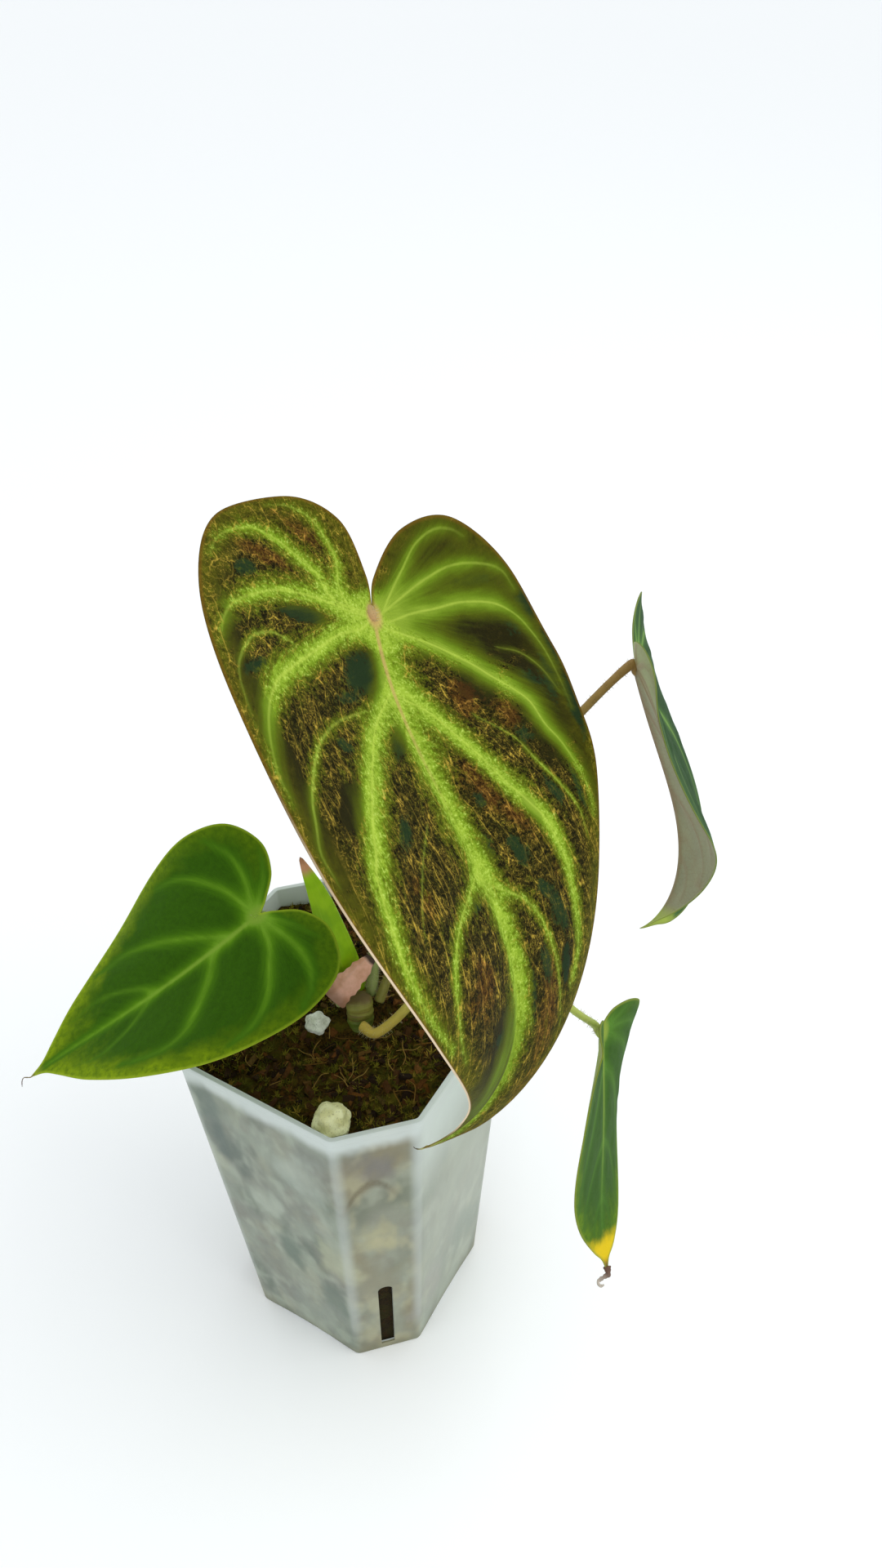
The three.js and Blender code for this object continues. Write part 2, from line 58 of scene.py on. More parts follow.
# A distance in millimetres that is larger than any on the plant
FAR = 99.0
# Makes a bell curve fall to half at its reach
HALVING = 0.69
# Millimetres in one unit of a blade's flat maps
MAP_UNIT = 100.0
# What a corner bevel loses per millimetre of inset
BEVEL_LOSS = 2 - math.sqrt(2)
# Where the crown stands on the mix, in millimetres
CROWN_SPOT = (8.0, -2.5)
# The way that a round section's first axis starts out
ANY_WAY = (0.31, 0.87, 0.12)

Point = Sequence[float]
Line = Sequence[Point]
Array = np.ndarray
Pair = tuple[Array, Array]
Mesh = bpy.types.Mesh
Material = bpy.types.Material
BMesh = bmesh.types.BMesh
Socket = bpy.types.NodeSocket
Number = Union["Value", float]


def shade(code: str) -> tuple[float, float, float, float]:
    """Turns a picture colour such as "7dae3c" into a linear colour.

    Args:
        code: six hexadecimal digits.

    Returns:
        Red, green, blue and an alpha of 1.
    """
    values = [int(code[i : i + 2], 16) / 255 for i in (0, 2, 4)]
    linear = [v / 12.92 if v <= 0.04045 else ((v + 0.055) / 1.055) ** 2.4 for v in values]
    return (*linear, 1.0)


def smooth_line(points: Line, per_span: int) -> Array:
    """Runs a smooth curve through points.

    Args:
        points: the points that the curve passes.
        per_span: how many steps it takes between two points.

    Returns:
        The curve's points, one row each.
    """
    given = np.asarray(points, float)
    full = np.vstack([2 * given[0] - given[1], given, 2 * given[-1] - given[-2]])
    t = (np.arange(per_span) / per_span)[None, :, None]
    before, start, end, after = full[:-3, None], full[1:-2, None], full[2:-1, None], full[3:, None]
    curve = 2 * start + (end - before) * t + (2 * before - 5 * start + 4 * end - after) * t**2
    curve = 0.5 * (curve + (3 * start - before - 3 * end + after) * t**3)
    return np.vstack([curve.reshape(-1, given.shape[1]), given[-1:]])


def smoothstep(value: Array, low: float, high: float) -> Array:
    """Rises smoothly from 0 at low to 1 at high."""
    share = np.clip((value - low) / (high - low), 0, 1)
    return share * share * (3 - 2 * share)


def along(values: Point, share: Array) -> Array:
    """Gives a value known at the joint, the middle and the tip at any share of the length."""
    start, middle, end = values
    rest = 1 - share
    return start * rest * (1 - 2 * share) + middle * 4 * share * rest + end * share * (2 * share - 1)


def turned(vectors: Array, axis: Array, angle: float) -> Array:
    """Turns vectors about a unit axis by an angle in radians."""
    cosine, sine = math.cos(angle), math.sin(angle)
    on_axis = np.outer(vectors @ axis, axis)
    return vectors * cosine + np.cross(axis, vectors) * sine + on_axis * (1 - cosine)


def bell(offset: Array, reach: float) -> Array:
    """Gives a smooth hump that is 1 at no offset."""
    return np.exp(-((offset / reach) ** 2))


def domed(progress: Array) -> Array:
    """Rounds an end off: 1 before it starts, then down to 0 at its tip."""
    return np.sqrt(np.clip(1 - np.clip(progress, 0, 1) ** 2, 0, 1))


def segment_gap(x: Array, y: Array, start: Point, end: Point) -> tuple[Array, ...]:
    """Measures flat points against one straight step of a line.

    Args:
        x, y: the points' places.
        start, end: where the step starts and ends.

    Returns:
        The nearest share of the step, the distance to it, and the side of it as a sign.
    """
    ax, ay = start
    dx, dy = end[0] - ax, end[1] - ay
    share = np.clip(((x - ax) * dx + (y - ay) * dy) / max(dx * dx + dy * dy, 1e-9), 0, 1)
    gap = np.hypot(x - ax - share * dx, y - ay - share * dy)
    return share, gap, np.sign(dx * (y - ay) - dy * (x - ax))


# Shader building


def math_method(operation: str, swap: bool = False) -> Callable[..., "Value"]:
    """Makes a method of Value that adds a Math node, with its inputs swapped if asked."""

    def method(self: "Value", *others: Number) -> "Value":
        """Adds the node and gives its result."""
        inputs = (*others, self) if swap else (self, *others)
        node = self.paint.add("ShaderNodeMath", {"operation": operation}, dict(enumerate(inputs)))
        return Value(self.paint, node.outputs[0])

    return method


class Value:
    """A number that changes over a surface, so that shader maths reads as plain arithmetic."""

    def __init__(self, paint: "Paint", socket: Socket) -> None:
        """Wraps an output socket of a material."""
        self.paint = paint
        self.socket = socket

    __add__ = __radd__ = math_method("ADD")
    __sub__ = math_method("SUBTRACT")
    __rsub__ = math_method("SUBTRACT", swap=True)
    __mul__ = __rmul__ = math_method("MULTIPLY")
    __truediv__ = math_method("DIVIDE")
    size = math_method("ABSOLUTE")
    least = math_method("MINIMUM")
    most = math_method("MAXIMUM")

    def sway(self, amount: float) -> "Value":
        """Turns noise round its middle into a change of either sign."""
        return (self - 0.5) * amount

    def lively(self, gain: float = 2.0) -> "Value":
        """Spreads soft noise round its middle."""
        return self.sway(gain) + 0.5

    def rise(self, low: float, high: float) -> "Value":
        """Rises smoothly from 0 at low to 1 at high."""
        sockets = {"Value": self, "From Min": low, "From Max": high}
        node = self.paint.add("ShaderNodeMapRange", {"interpolation_type": "SMOOTHSTEP"}, sockets)
        return Value(self.paint, node.outputs["Result"])

    def fall(self, low: float, high: float) -> "Value":
        """Falls smoothly from 1 at low to 0 at high."""
        return 1.0 - self.rise(low, high)


# A picture colour such as "7dae3c", a colour that changes over a surface, or a linear one
Colour = Union[str, Socket, tuple[float, ...]]


class Paint:
    """A node material under construction."""

    def __init__(self, name: str) -> None:
        """Starts an empty material with one Principled shader."""
        self.material = bpy.data.materials.new(name)
        self.material.use_nodes = True
        self.tree = self.material.node_tree
        self.tree.nodes.clear()
        output = self.add("ShaderNodeOutputMaterial", {}, {})
        self.shader = self.add("ShaderNodeBsdfPrincipled", {}, {})
        self.feed(output.inputs["Surface"], self.shader.outputs[0])

    def add(
        self, kind: str, settings: dict[str, object], sockets: dict[Union[int, str], object]
    ) -> bpy.types.Node:
        """Adds any node.

        Args:
            kind: the node's type.
            settings: its properties, set first. The entry "stops" fills a ramp with places and colours.
            sockets: values or links of its inputs, by name or number.

        Returns:
            The node.
        """
        node = self.tree.nodes.new(kind)
        for key, value in settings.items():
            if key == "stops":
                self._fill_ramp(node.color_ramp, value)
            else:
                setattr(node, key, value)
        for key, value in sockets.items():
            self.feed(node.inputs[key], value)
        return node

    def feed(self, entry: Socket, value: object) -> None:
        """Links or sets an input socket; text is a picture colour."""
        if isinstance(value, Value):
            self.tree.links.new(value.socket, entry)
        elif isinstance(value, Socket):
            self.tree.links.new(value, entry)
        elif isinstance(value, str):
            entry.default_value = shade(value)[: len(entry.default_value)]
        else:
            entry.default_value = value

    def _fill_ramp(self, ramp: bpy.types.ColorRamp, stops: Sequence[tuple[float, str]]) -> None:
        """Sets a ramp's stops."""
        while len(ramp.elements) < len(stops):
            ramp.elements.new(1.0)
        for element, (place, code) in zip(ramp.elements, stops):
            element.position = place
            element.color = shade(code)

    def _vector(self, operation: str, first: Socket, second: object) -> Socket:
        """Adds a Vector Math node."""
        return self.add("ShaderNodeVectorMath", {"operation": operation}, {0: first, 1: second}).outputs[0]

    def object_place(self, per_metre: float = 1.0) -> Socket:
        """Gives the place on the piece, in units of 1 / per_metre metres."""
        return self.scaled(self.add("ShaderNodeTexCoord", {}, {}).outputs["Object"], (per_metre,) * 3)

    def map_place(self, name: str, scale: Point) -> Socket:
        """Gives the place on one of the piece's own flat maps."""
        return self.scaled(self.add("ShaderNodeUVMap", {"uv_map": name}, {}).outputs[0], (*scale, 0.0))

    def scaled(self, place: Socket, by: Point) -> Socket:
        """Multiplies a place by a factor on each axis."""
        return self._vector("MULTIPLY", place, by)

    def shifted(self, place: Socket, by: Socket, amount: float) -> Socket:
        """Moves a place by a varying colour times an amount, so that a pattern wanders."""
        centred = self._vector("SUBTRACT", by, (0.5,) * 3)
        return self._vector("ADD", place, self.scaled(centred, (amount,) * 3))

    def measure(self, name: str) -> Value:
        """Reads a number stored on the piece's points."""
        return Value(self, self.add("ShaderNodeAttribute", {"attribute_name": name}, {}).outputs["Fac"])

    def parts(self, place: Socket) -> tuple[Value, ...]:
        """Splits a place or colour into its three numbers."""
        return tuple(Value(self, out) for out in self.add("ShaderNodeSeparateXYZ", {}, {0: place}).outputs)

    def clouds(self, place: Socket, scale: float, detail: float = 3.0, rough: float = 0.55) -> Value:
        """Gives soft noise from 0 to 1."""
        sockets = {"Vector": place, "Scale": scale, "Detail": detail, "Roughness": rough}
        return Value(self, self.add("ShaderNodeTexNoise", {}, sockets).outputs["Fac"])

    def drift(self, place: Socket, scale: float) -> Socket:
        """Gives three unlike soft noises as one colour."""
        sockets = {"Vector": place, "Scale": scale, "Detail": 2.0}
        return self.add("ShaderNodeTexNoise", {}, sockets).outputs["Color"]

    def _voronoi(self, settings: dict[str, object], place: Socket, scale: float) -> Value:
        """Adds a Voronoi node and gives its distance."""
        node = self.add("ShaderNodeTexVoronoi", settings, {"Vector": place, "Scale": scale})
        return Value(self, node.outputs["Distance"])

    def cracks(self, place: Socket, scale: float) -> Value:
        """Gives the distance to the edges of uneven flat cells."""
        return self._voronoi({"feature": "DISTANCE_TO_EDGE", "voronoi_dimensions": "2D"}, place, scale)

    def cells(self, place: Socket, scale: float) -> Value:
        """Gives the distance to the middles of uneven cells."""
        return self._voronoi({}, place, scale)

    def mix(self, amount: Number, under: Colour, over: Colour) -> Socket:
        """Lays one colour over another by an amount from 0 to 1."""
        settings = {"data_type": "RGBA", "clamp_factor": True}
        return self.add("ShaderNodeMix", settings, {0: amount, 6: under, 7: over}).outputs[2]

    def layers(self, colour: Colour, *coats: tuple[Number, Colour]) -> Colour:
        """Lays colours over the first one in turn, each by its amount."""
        for amount, over in coats:
            colour = self.mix(amount, colour, over)
        return colour

    def toned(self, colour: Colour, amount: Value) -> Socket:
        """Multiplies a colour by a varying number."""
        node = self.add("ShaderNodeVectorMath", {"operation": "SCALE"}, {0: colour, "Scale": amount})
        return node.outputs[0]

    def bump(self, height: Value, depth: float, strength: float = 1.0) -> None:
        """Roughens the shading by a height; depth is in metres."""
        node = self.add("ShaderNodeBump", {}, {"Strength": strength, "Distance": depth, "Height": height})
        self.feed(self.shader.inputs["Normal"], node.outputs["Normal"])

    def surface(self, colour: Colour, roughness: Number, **constants: float) -> Material:
        """Finishes the Principled shader.

        Args:
            colour: the base colour.
            roughness: the roughness.
            constants: other inputs, with underscores for spaces in their names.

        Returns:
            The material.
        """
        self.feed(self.shader.inputs["Base Color"], colour)
        self.feed(self.shader.inputs["Roughness"], roughness)
        for key, value in constants.items():
            self.shader.inputs[key.replace("_", " ")].default_value = value
        return self.material


# Mesh building


def to_mesh(made: BMesh, name: str) -> Mesh:
    """Turns a bmesh into a new mesh and frees it."""
    mesh = bpy.data.meshes.new(name)
    made.to_mesh(mesh)
    made.free()
    return mesh


def link_object(name: str, data: object) -> bpy.types.Object:
    """Puts a mesh, lamp or camera in the scene as an object."""
    made = bpy.data.objects.new(name, data)
    bpy.context.scene.collection.objects.link(made)
    return made


def grid_mesh(name: str, across: int, lengthwise: int) -> tuple[Mesh, Array, Array]:
    """Makes a flat sheet of squares.

    Args:
        name: the mesh's name.
        across: how many squares it has across.
        lengthwise: how many it has along.

    Returns:
        The mesh, and each point's share across and along.
    """
    sheet = bmesh.new()
    bmesh.ops.create_grid(sheet, x_segments=across, y_segments=lengthwise, size=0.5)
    mesh = to_mesh(sheet, name)
    flat = np.empty(len(mesh.vertices) * 3, np.float32)
    mesh.vertices.foreach_get("co", flat)
    shares = np.clip(flat.reshape(-1, 3).astype(float) + 0.5, 0, 1)
    return mesh, shares[:, 0], shares[:, 1]


def set_points(mesh: Mesh, places: Array) -> None:
    """Moves a mesh's points to places in millimetres."""
    mesh.vertices.foreach_set("co", (places * MM).astype(np.float32).ravel())


def store(mesh: Mesh, name: str, values: Array) -> None:
    """Stores a number on each point of a mesh."""
    attribute = mesh.attributes.new(name, "FLOAT", "POINT")
    attribute.data.foreach_set("value", values.astype(np.float32))


def store_map(mesh: Mesh, name: str, first: Array, second: Array) -> None:
    """Stores a flat map with a place for each point of a mesh."""
    corner = np.empty(len(mesh.loops), np.int32)
    mesh.loops.foreach_get("vertex_index", corner)
    layer = mesh.uv_layers.new(name=name)
    layer.uv.foreach_set("vector", np.stack([first[corner], second[corner]], -1).astype(np.float32).ravel())


def close_mesh(mesh: Mesh, cap: bool = False) -> None:
    """Merges points that meet, closes the ends if asked, and turns the faces outwards.

    Args:
        mesh: the mesh to close.
        cap: whether open ends get a face.
    """
    shell = bmesh.new()
    shell.from_mesh(mesh)
    bmesh.ops.remove_doubles(shell, verts=shell.verts, dist=WELD)
    if cap:
        open_edges = [edge for edge in shell.edges if edge.is_boundary]
        bmesh.ops.holes_fill(shell, edges=open_edges, sides=0)
    bmesh.ops.recalc_face_normals(shell, faces=shell.faces)
    if shell.calc_volume(signed=True) < 0:
        bmesh.ops.reverse_faces(shell, faces=shell.faces)
    for face in shell.faces:
        face.smooth = True
    shell.to_mesh(mesh)
    shell.free()


def place_piece(mesh: Mesh, materials: Sequence[Material], slot: str, *nodes: str) -> None:
    """Puts a finished mesh in the scene, riding with the pot.

    Args:
        mesh: the mesh, with its place in its points.
        materials: its materials in order.
        slot: not used.
        nodes: the solids that it stands for.
    """
    piece = link_object(mesh.name, mesh)
    for material in materials:
        mesh.materials.append(material)
    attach(piece, "root")
    for node in nodes:
        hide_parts(node)
    LOG.info("%s: %d faces", mesh.name, len(mesh.polygons))


def carried_line(line: Line, wide: Point = ANY_WAY) -> tuple[Array, ...]:
    """Carries a frame along a smooth line without letting it spin.

    Args:
        line: the points that the line passes.
        wide: the direction of the section's first axis at the start.

    Returns:
        The centres, first axes and second axes.
    """
    centres = smooth_line(line, LINE_STEPS)
    heads = np.gradient(centres, axis=0)
    heads /= np.linalg.norm(heads, axis=1, keepdims=True)
    first = np.asarray(wide, float)
    firsts = []
    for head in heads:
        first = first - head * (first @ head)
        first = first / np.linalg.norm(first)
        firsts.append(first)
    firsts = np.array(firsts)
    return centres, firsts, np.cross(heads, firsts)


def round_section(radius: Array, angle: Array) -> Pair:
    """Gives the two offsets of a round section."""
    return radius * np.cos(angle), radius * np.sin(angle)


def tube_mesh(
    name: str, line: Line, section: Callable[..., Pair], sides: int, steps: int, wide: Point = ANY_WAY
) -> Mesh:
    """Wraps a sheet round a smooth line and closes it.

    Args:
        name: the mesh's name.
        line: the centre line's points in millimetres.
        section: gives the two offsets from the centre for each share of the length and angle.
        sides: how many sides the section has.
        steps: how many steps the length has.
        wide: the direction of the section's first axis at the start.

    Returns:
        The closed mesh, with a flat map "wrap": the share round it, and millimetres along it.
    """
    centres, firsts, seconds = carried_line(line, wide)
    runs = np.r_[0, np.cumsum(np.linalg.norm(np.diff(centres, axis=0), axis=1))]
    mesh, around, share = grid_mesh(name, sides, steps)
    run = share * runs[-1]

    def follow(rows: Array) -> Array:
        """Reads rows given along the line at each point of the sheet."""
        return np.stack([np.interp(run, runs, rows[:, k]) for k in range(3)], -1)

    wide_by, deep_by = section(share, 2 * math.pi * around)
    set_points(mesh, follow(centres) + follow(firsts) * wide_by[:, None] + follow(seconds) * deep_by[:, None])
    store_map(mesh, "wrap", around, run)
    store(mesh, "share", share)
    close_mesh(mesh, cap=True)
    return mesh


def add_copy(into: BMesh, template: Mesh, place: Matrix) -> list[bmesh.types.BMVert]:
    """Adds a copy of a small mesh to a larger one.

    Args:
        into: the larger mesh.
        template: the small mesh.
        place: where the copy goes.

    Returns:
        The copy's points.
    """
    first = len(into.verts)
    into.from_mesh(template)
    into.verts.ensure_lookup_table()
    added = [into.verts[i] for i in range(first, len(into.verts))]
    for point in added:
        point.co = place @ point.co
    return added


def looking_along(spot: Vector, heading: Vector, spin: float, size: Point) -> Matrix:
    """Gives the place of a copy whose +Z points along a heading."""
    turn = heading.to_track_quat("Z", "Y").to_matrix().to_4x4()
    return Matrix.Translation(spot) @ turn @ Matrix.Rotation(spin, 4, "Z") @ Matrix.Diagonal((*size, 1.0))


# Blades

# Outlines and vein places are in shares of the blade's length, from the joint, for the right half
OUTLINE = (
    (0, -.012), (.011, -.071), (.073, -.154), (.191, -.181), (.332, -.118), (.403, .03), (.419, .202),
    (.414, .396), (.329, .59), (.2, .77), (.08, .894), (.023, .944), (0, 1),
)
YOUNG_OUTLINE = (
    (0, -.012), (.031, -.06), (.103, -.137), (.217, -.171), (.35, -.113), (.419, .029), (.435, .196),
    (.415, .386), (.33, .582), (.2, .761), (.078, .885), (.026, .942), (0, 1),
)
# Where on the midrib the rows of squares start that end at each outline point
VEIN_STARTS = (0, 0, 0, 0, 0, 0, 0, 0, 0.15, 0.42, 0.68, 0.88, 1)


@dataclass(frozen=True)
class Vein:
    """A vein drawn on the flat blade.

    Attributes:
        points: where it runs, in thousandths of the blade's length.
        reach: its pale band's half width in millimetres at its start, middle and end.
        glow: how strong the band is there, from 0 to 1.
        fall: how flat the band is before it fades; 1 is peaked, 3 nearly flat.
        line: how strong its fine line is; a band without one is only a pale zone.
    """

    points: Line
    reach: Point
    glow: Point = (1.0, 0.85, 0.5)
    fall: float = 1.5
    line: float = 1.0


def both_sides(veins: Sequence[Vein]) -> tuple[Vein, ...]:
    """Repeats right-hand veins on the left."""
    left = [Vein([(-x, y) for x, y in vein.points], vein.reach, vein.glow) for vein in veins]
    return (*left, *veins)


@dataclass(frozen=True)
class Spot:
    """A soft patch on the flat blade, placed and sized in shares of its length, and turned in degrees."""

    x: float
    y: float
    wide: float
    tall: float
    turn: float = 0.0
    amount: float = 1.0

    def over(self, x: Array, y: Array) -> Array:
        """Gives the patch's strength at flat places."""
        cosine, sine = math.cos(math.radians(self.turn)), math.sin(math.radians(self.turn))
        u = (x - self.x) * cosine + (y - self.y) * sine
        v = (y - self.y) * cosine - (x - self.x) * sine
        return self.amount * np.exp(-HALVING * ((u / self.wide) ** 2 + (v / self.tall) ** 2))


def spots(*rows: Point) -> tuple[Spot, ...]:
    """Makes patches from rows of their values."""
    return tuple(Spot(*row) for row in rows)


MIDRIB_LINE = ((0, -8), (0, 150), (0, 350), (0, 550), (0, 750), (0, 900), (0, 985))
FRONT_VEINS = (
    Vein(MIDRIB_LINE, (5.0, 5.2, 2.4), (.9, .95, .6), 2.4, .3),
    Vein([(-20, 170), (-35, 270), (-45, 360), (-35, 460), (-20, 550)], (5, 6, 5), (.4, .42, .35), 2, 0),
    Vein([(20, 60), (50, 150), (60, 210), (50, 270)], (4.5, 5, 4), (.5, .42, .2), 2, 0),
    Vein([(-30, 640), (-60, 720), (-90, 790), (-70, 870)], (6, 9, 7), (.45, .62, .5), 2.5, 0),
    Vein([(20, 620), (30, 720), (30, 820)], (2.5, 3.5, 3), (.25, .3, .2), 2.5, 0),
    Vein([(-10, -2), (-55, -4), (-78, -37), (-78, -77), (-96, -109), (-135, -147), (-187, -162),
         (-232, -155)], (2.6, 2.3, 1.2), (.95, .8, .3)),
    Vein([(-20, -4), (-97, -12), (-130, -52), (-174, -75), (-212, -93), (-257, -103), (-297, -93),
         (-339, -67), (-370, -22)], (3.0, 2.8, 1.6), (.95, .85, .45)),
    Vein([(-10, 1), (-41, 3), (-141, -6), (-225, 0), (-284, 19), (-341, 46), (-377, 78), (-398, 113)],
         (3.0, 2.9, 1.6), (1.0, .9, .5)),
    Vein([(-234, 84), (-272, 77), (-316, 88), (-357, 116), (-387, 150), (-402, 212)], (.9, .9, .6),
         (.4, .6, .3)),
    Vein([(-10, 8), (-42, 30), (-103, 50), (-179, 89), (-261, 128), (-312, 153), (-354, 188), (-384, 224),
         (-403, 261), (-406, 291)], (3.6, 3.2, 1.6), (1.0, .95, .5), 1.8),
    Vein([(-130, 183), (-209, 202), (-272, 228), (-318, 257), (-362, 293), (-382, 318), (-402, 346),
         (-399, 376)], (1.0, 1.2, .8), (.4, .75, .4)),
    Vein([(0, 125), (-25, 149), (-106, 206), (-172, 262), (-260, 336), (-291, 367), (-320, 395),
         (-343, 459), (-343, 494), (-338, 526), (-324, 560), (-290, 621)], (3.9, 3.7, 1.9), (1.0, 1.0, .65),
         1.8),
    Vein([(0, 450), (-33, 458), (-114, 476), (-176, 495), (-220, 522), (-246, 553), (-258, 592),
         (-261, 623), (-248, 663)], (1.9, 1.9, 1.3), (.7, .85, .5)),
    Vein([(-110, 359), (-197, 406), (-256, 450), (-283, 486)], (.5, .6, .4), (.3, .4, .1)),
    Vein([(0, 0), (15, 0), (45, -46), (77, -92), (106, -134), (147, -160), (188, -165), (221, -158)],
         (2.6, 2.4, 1.6), (.9, .75, .4)),
    Vein([(5, -4), (19, -7), (83, -52), (135, -85), (193, -112), (257, -122), (307, -117), (334, -90)],
         (2.9, 2.9, 1.8), (.9, .8, .45)),
    Vein([(10, 3), (31, 6), (90, -17), (150, -34), (210, -52), (279, -58), (322, -45), (352, -17),
         (380, 42), (394, 133), (398, 223)], (3.4, 3.6, 1.4), (.95, .9, .25)),
    Vein([(10, 10), (28, 19), (87, 29), (143, 45), (199, 73), (243, 109), (280, 144), (305, 182),
         (317, 247), (338, 304), (353, 368), (365, 431), (360, 483)], (4.2, 4.4, 2.2), (1.0, 1.0, .65)),
    Vein([(272, 35), (323, 48), (360, 92), (384, 170)], (1.0, 1.4, .8), (.2, .4, .2)),
    Vein([(0, 125), (16, 147), (60, 173), (95, 219), (130, 277), (156, 337), (187, 394), (210, 439),
         (218, 489), (223, 530), (219, 572), (215, 621), (211, 666), (186, 704)], (3.8, 4.0, 2.4),
         (.95, 1.0, .65), 2),
    Vein([(160, 190), (226, 253), (256, 324), (285, 386), (315, 459), (316, 515)], (.9, 1.1, .8),
         (.3, .65, .4)),
    Vein([(-20, 460), (0, 478), (31, 501), (72, 534), (99, 572), (117, 625), (132, 679), (145, 728),
         (166, 763)], (1.8, 1.7, 1.1), (.8, .65, .4)),
)
LEFT_VEINS = (
    Vein(MIDRIB_LINE, (2.2, 2.3, 1.2), (.9, .85, .5)),
    Vein([(0, 0), (-30, -20), (-90, -90), (-150, -130), (-200, -150)], (2.2, 1.9, 1.2), (.8, .6, .2)),
    Vein([(0, 0), (-15, 8), (-140, -42), (-250, -52), (-355, -12)], (2.4, 2.1, 1.4), (.9, .75, .35)),
    Vein([(0, 3), (-25, 13), (-130, 32), (-235, 87), (-315, 166), (-365, 269)], (2.4, 2.1, 1.4),
         (.9, .75, .35)),
    Vein([(0, 125), (-20, 146), (-90, 240), (-170, 373), (-225, 516), (-235, 664)], (2.3, 2.1, 1.4),
         (.85, .75, .35)),
    Vein([(0, 450), (-50, 500), (-100, 600), (-120, 700), (-100, 800)], (1.4, 1.2, .8), (.6, .45, .15)),
    Vein([(0, 0), (30, -17), (100, -66), (215, -121)], (2.4, 2.0, 1.2), (.85, .6, .2)),
    Vein([(0, 0), (30, -7), (170, -37), (275, -37), (355, 3), (405, 62)], (2.4, 2.1, 1.4), (.9, .75, .35)),
    Vein([(0, 3), (20, 8), (120, 27), (220, 82), (310, 141), (370, 215), (395, 299)], (2.4, 2.1, 1.4),
         (.9, .8, .4)),
    Vein([(0, 180), (15, 205), (105, 269), (190, 343), (255, 408), (275, 506), (235, 635)], (2.3, 2.1, 1.4),
         (.85, .8, .4)),
    Vein([(0, 480), (60, 540), (110, 630), (130, 720), (100, 800)], (1.4, 1.2, .8), (.6, .45, .15)),
)
PLAIN_VEINS = (
    Vein(MIDRIB_LINE, (2.4, 2.4, 1.2), (.9, .85, .5)),
    *both_sides((
        Vein([(0, 0), (50, -50), (100, -130), (190, -165)], (2.2, 2.0, 1.2), (.8, .6, .2)),
        Vein([(0, 0), (100, -50), (200, -100), (300, -110)], (2.2, 2.0, 1.2), (.8, .65, .25)),
        Vein([(0, 0), (120, -10), (250, 0), (360, 60), (400, 160)], (2.2, 2.0, 1.2), (.85, .7, .3)),
        Vein([(0, 0), (100, 40), (230, 100), (330, 200), (385, 360)], (2.2, 2.0, 1.2), (.85, .7, .35)),
        Vein([(0, 150), (100, 210), (190, 310), (260, 420), (280, 550), (250, 660)], (2.2, 2.0, 1.3),
             (.8, .75, .35)),
        Vein([(0, 460), (80, 500), (150, 580), (180, 680), (170, 770)], (1.5, 1.4, 1.0), (.7, .6, .25)),
        Vein([(0, 700), (50, 730), (75, 800), (70, 870)], (1.0, .9, .6), (.5, .4, .2)),
    )),
)
FRONT_CALM = spots(
    (.27, -.07, .24, .15), (.36, .16, .09, .2, 12), (.13, -.04, .12, .07), (-.06, .11, .06, .035, -35),
    (-.183, .033, .06, .014, -6), (-.06, .228, .045, .016, -38), (.188, .41, .014, .034, -15),
    (.158, .67, .014, .035), (-.38, .25, .025, .22, 4, .8), (-.29, .31, .05, .018, -25),
    (-.1, .78, .1, .13), (.385, .35, .02, .25, 0, .7), (.2, .12, .05, .05, 40),
)
FRONT_COOL = spots(
    (-.085, .115, .065, .032, -30), (-.183, .033, .06, .014, -6), (-.3, -.018, .035, .014, -15),
    (-.06, .228, .045, .016, -38), (-.222, .236, .02, .012), (.188, .41, .015, .036, -15),
    (.073, .352, .015, .016), (.13, .54, .016, .016), (.264, .4, .014, .04, -18),
    (.045, .69, .012, .08, -3, .8), (.158, .67, .014, .035), (.03, .43, .02, .03, 30),
    (.227, -.095, .07, .016, -10), (.345, -.05, .03, .06, 30), (.385, .06, .022, .13, 10),
    (.405, .2, .016, .12, 0), (.157, .59, .02, .04, -20), (.09, .65, .018, .035, -20),
    (.327, .12, .035, .03, 20, .8), (-.34, .135, .04, .01, -15), (.105, .46, .02, .035, -30),
    (-.2, .36, .05, .014, -30, .8), (.335, .4, .01, .08), (-.08, .485, .03, .014, -10),
    (.255, .26, .025, .025, 0, .8), (.15, .58, .02, .05, 0, .7), (-.12, .69, .05, .016, 15, .8),
    (-.14, .16, .05, .012, -12, .8),
)
FRONT_WARM = spots(
    (.15, .15, .05, .05, 35), (.24, .19, .04, .05, 10), (.1, .33, .05, .09, -30), (.145, .4, .04, .06, -20),
    (-.25, -.055, .09, .022, 8), (-.16, -.12, .07, .02, 20), (-.166, .59, .09, .06, -20, .8),
    (-.19, .125, .08, .014, -15, .7), (.1, .73, .045, .12), (.13, .86, .07, .06),
    (.19, .5, .02, .08, 0, .8), (-.23, .43, .06, .04, -30, .7),
)


class MarginStyle(Enum):
    """How a blade's edge is coloured."""

    PALE_PINK = "pale pink"
    PLAIN = "plain"


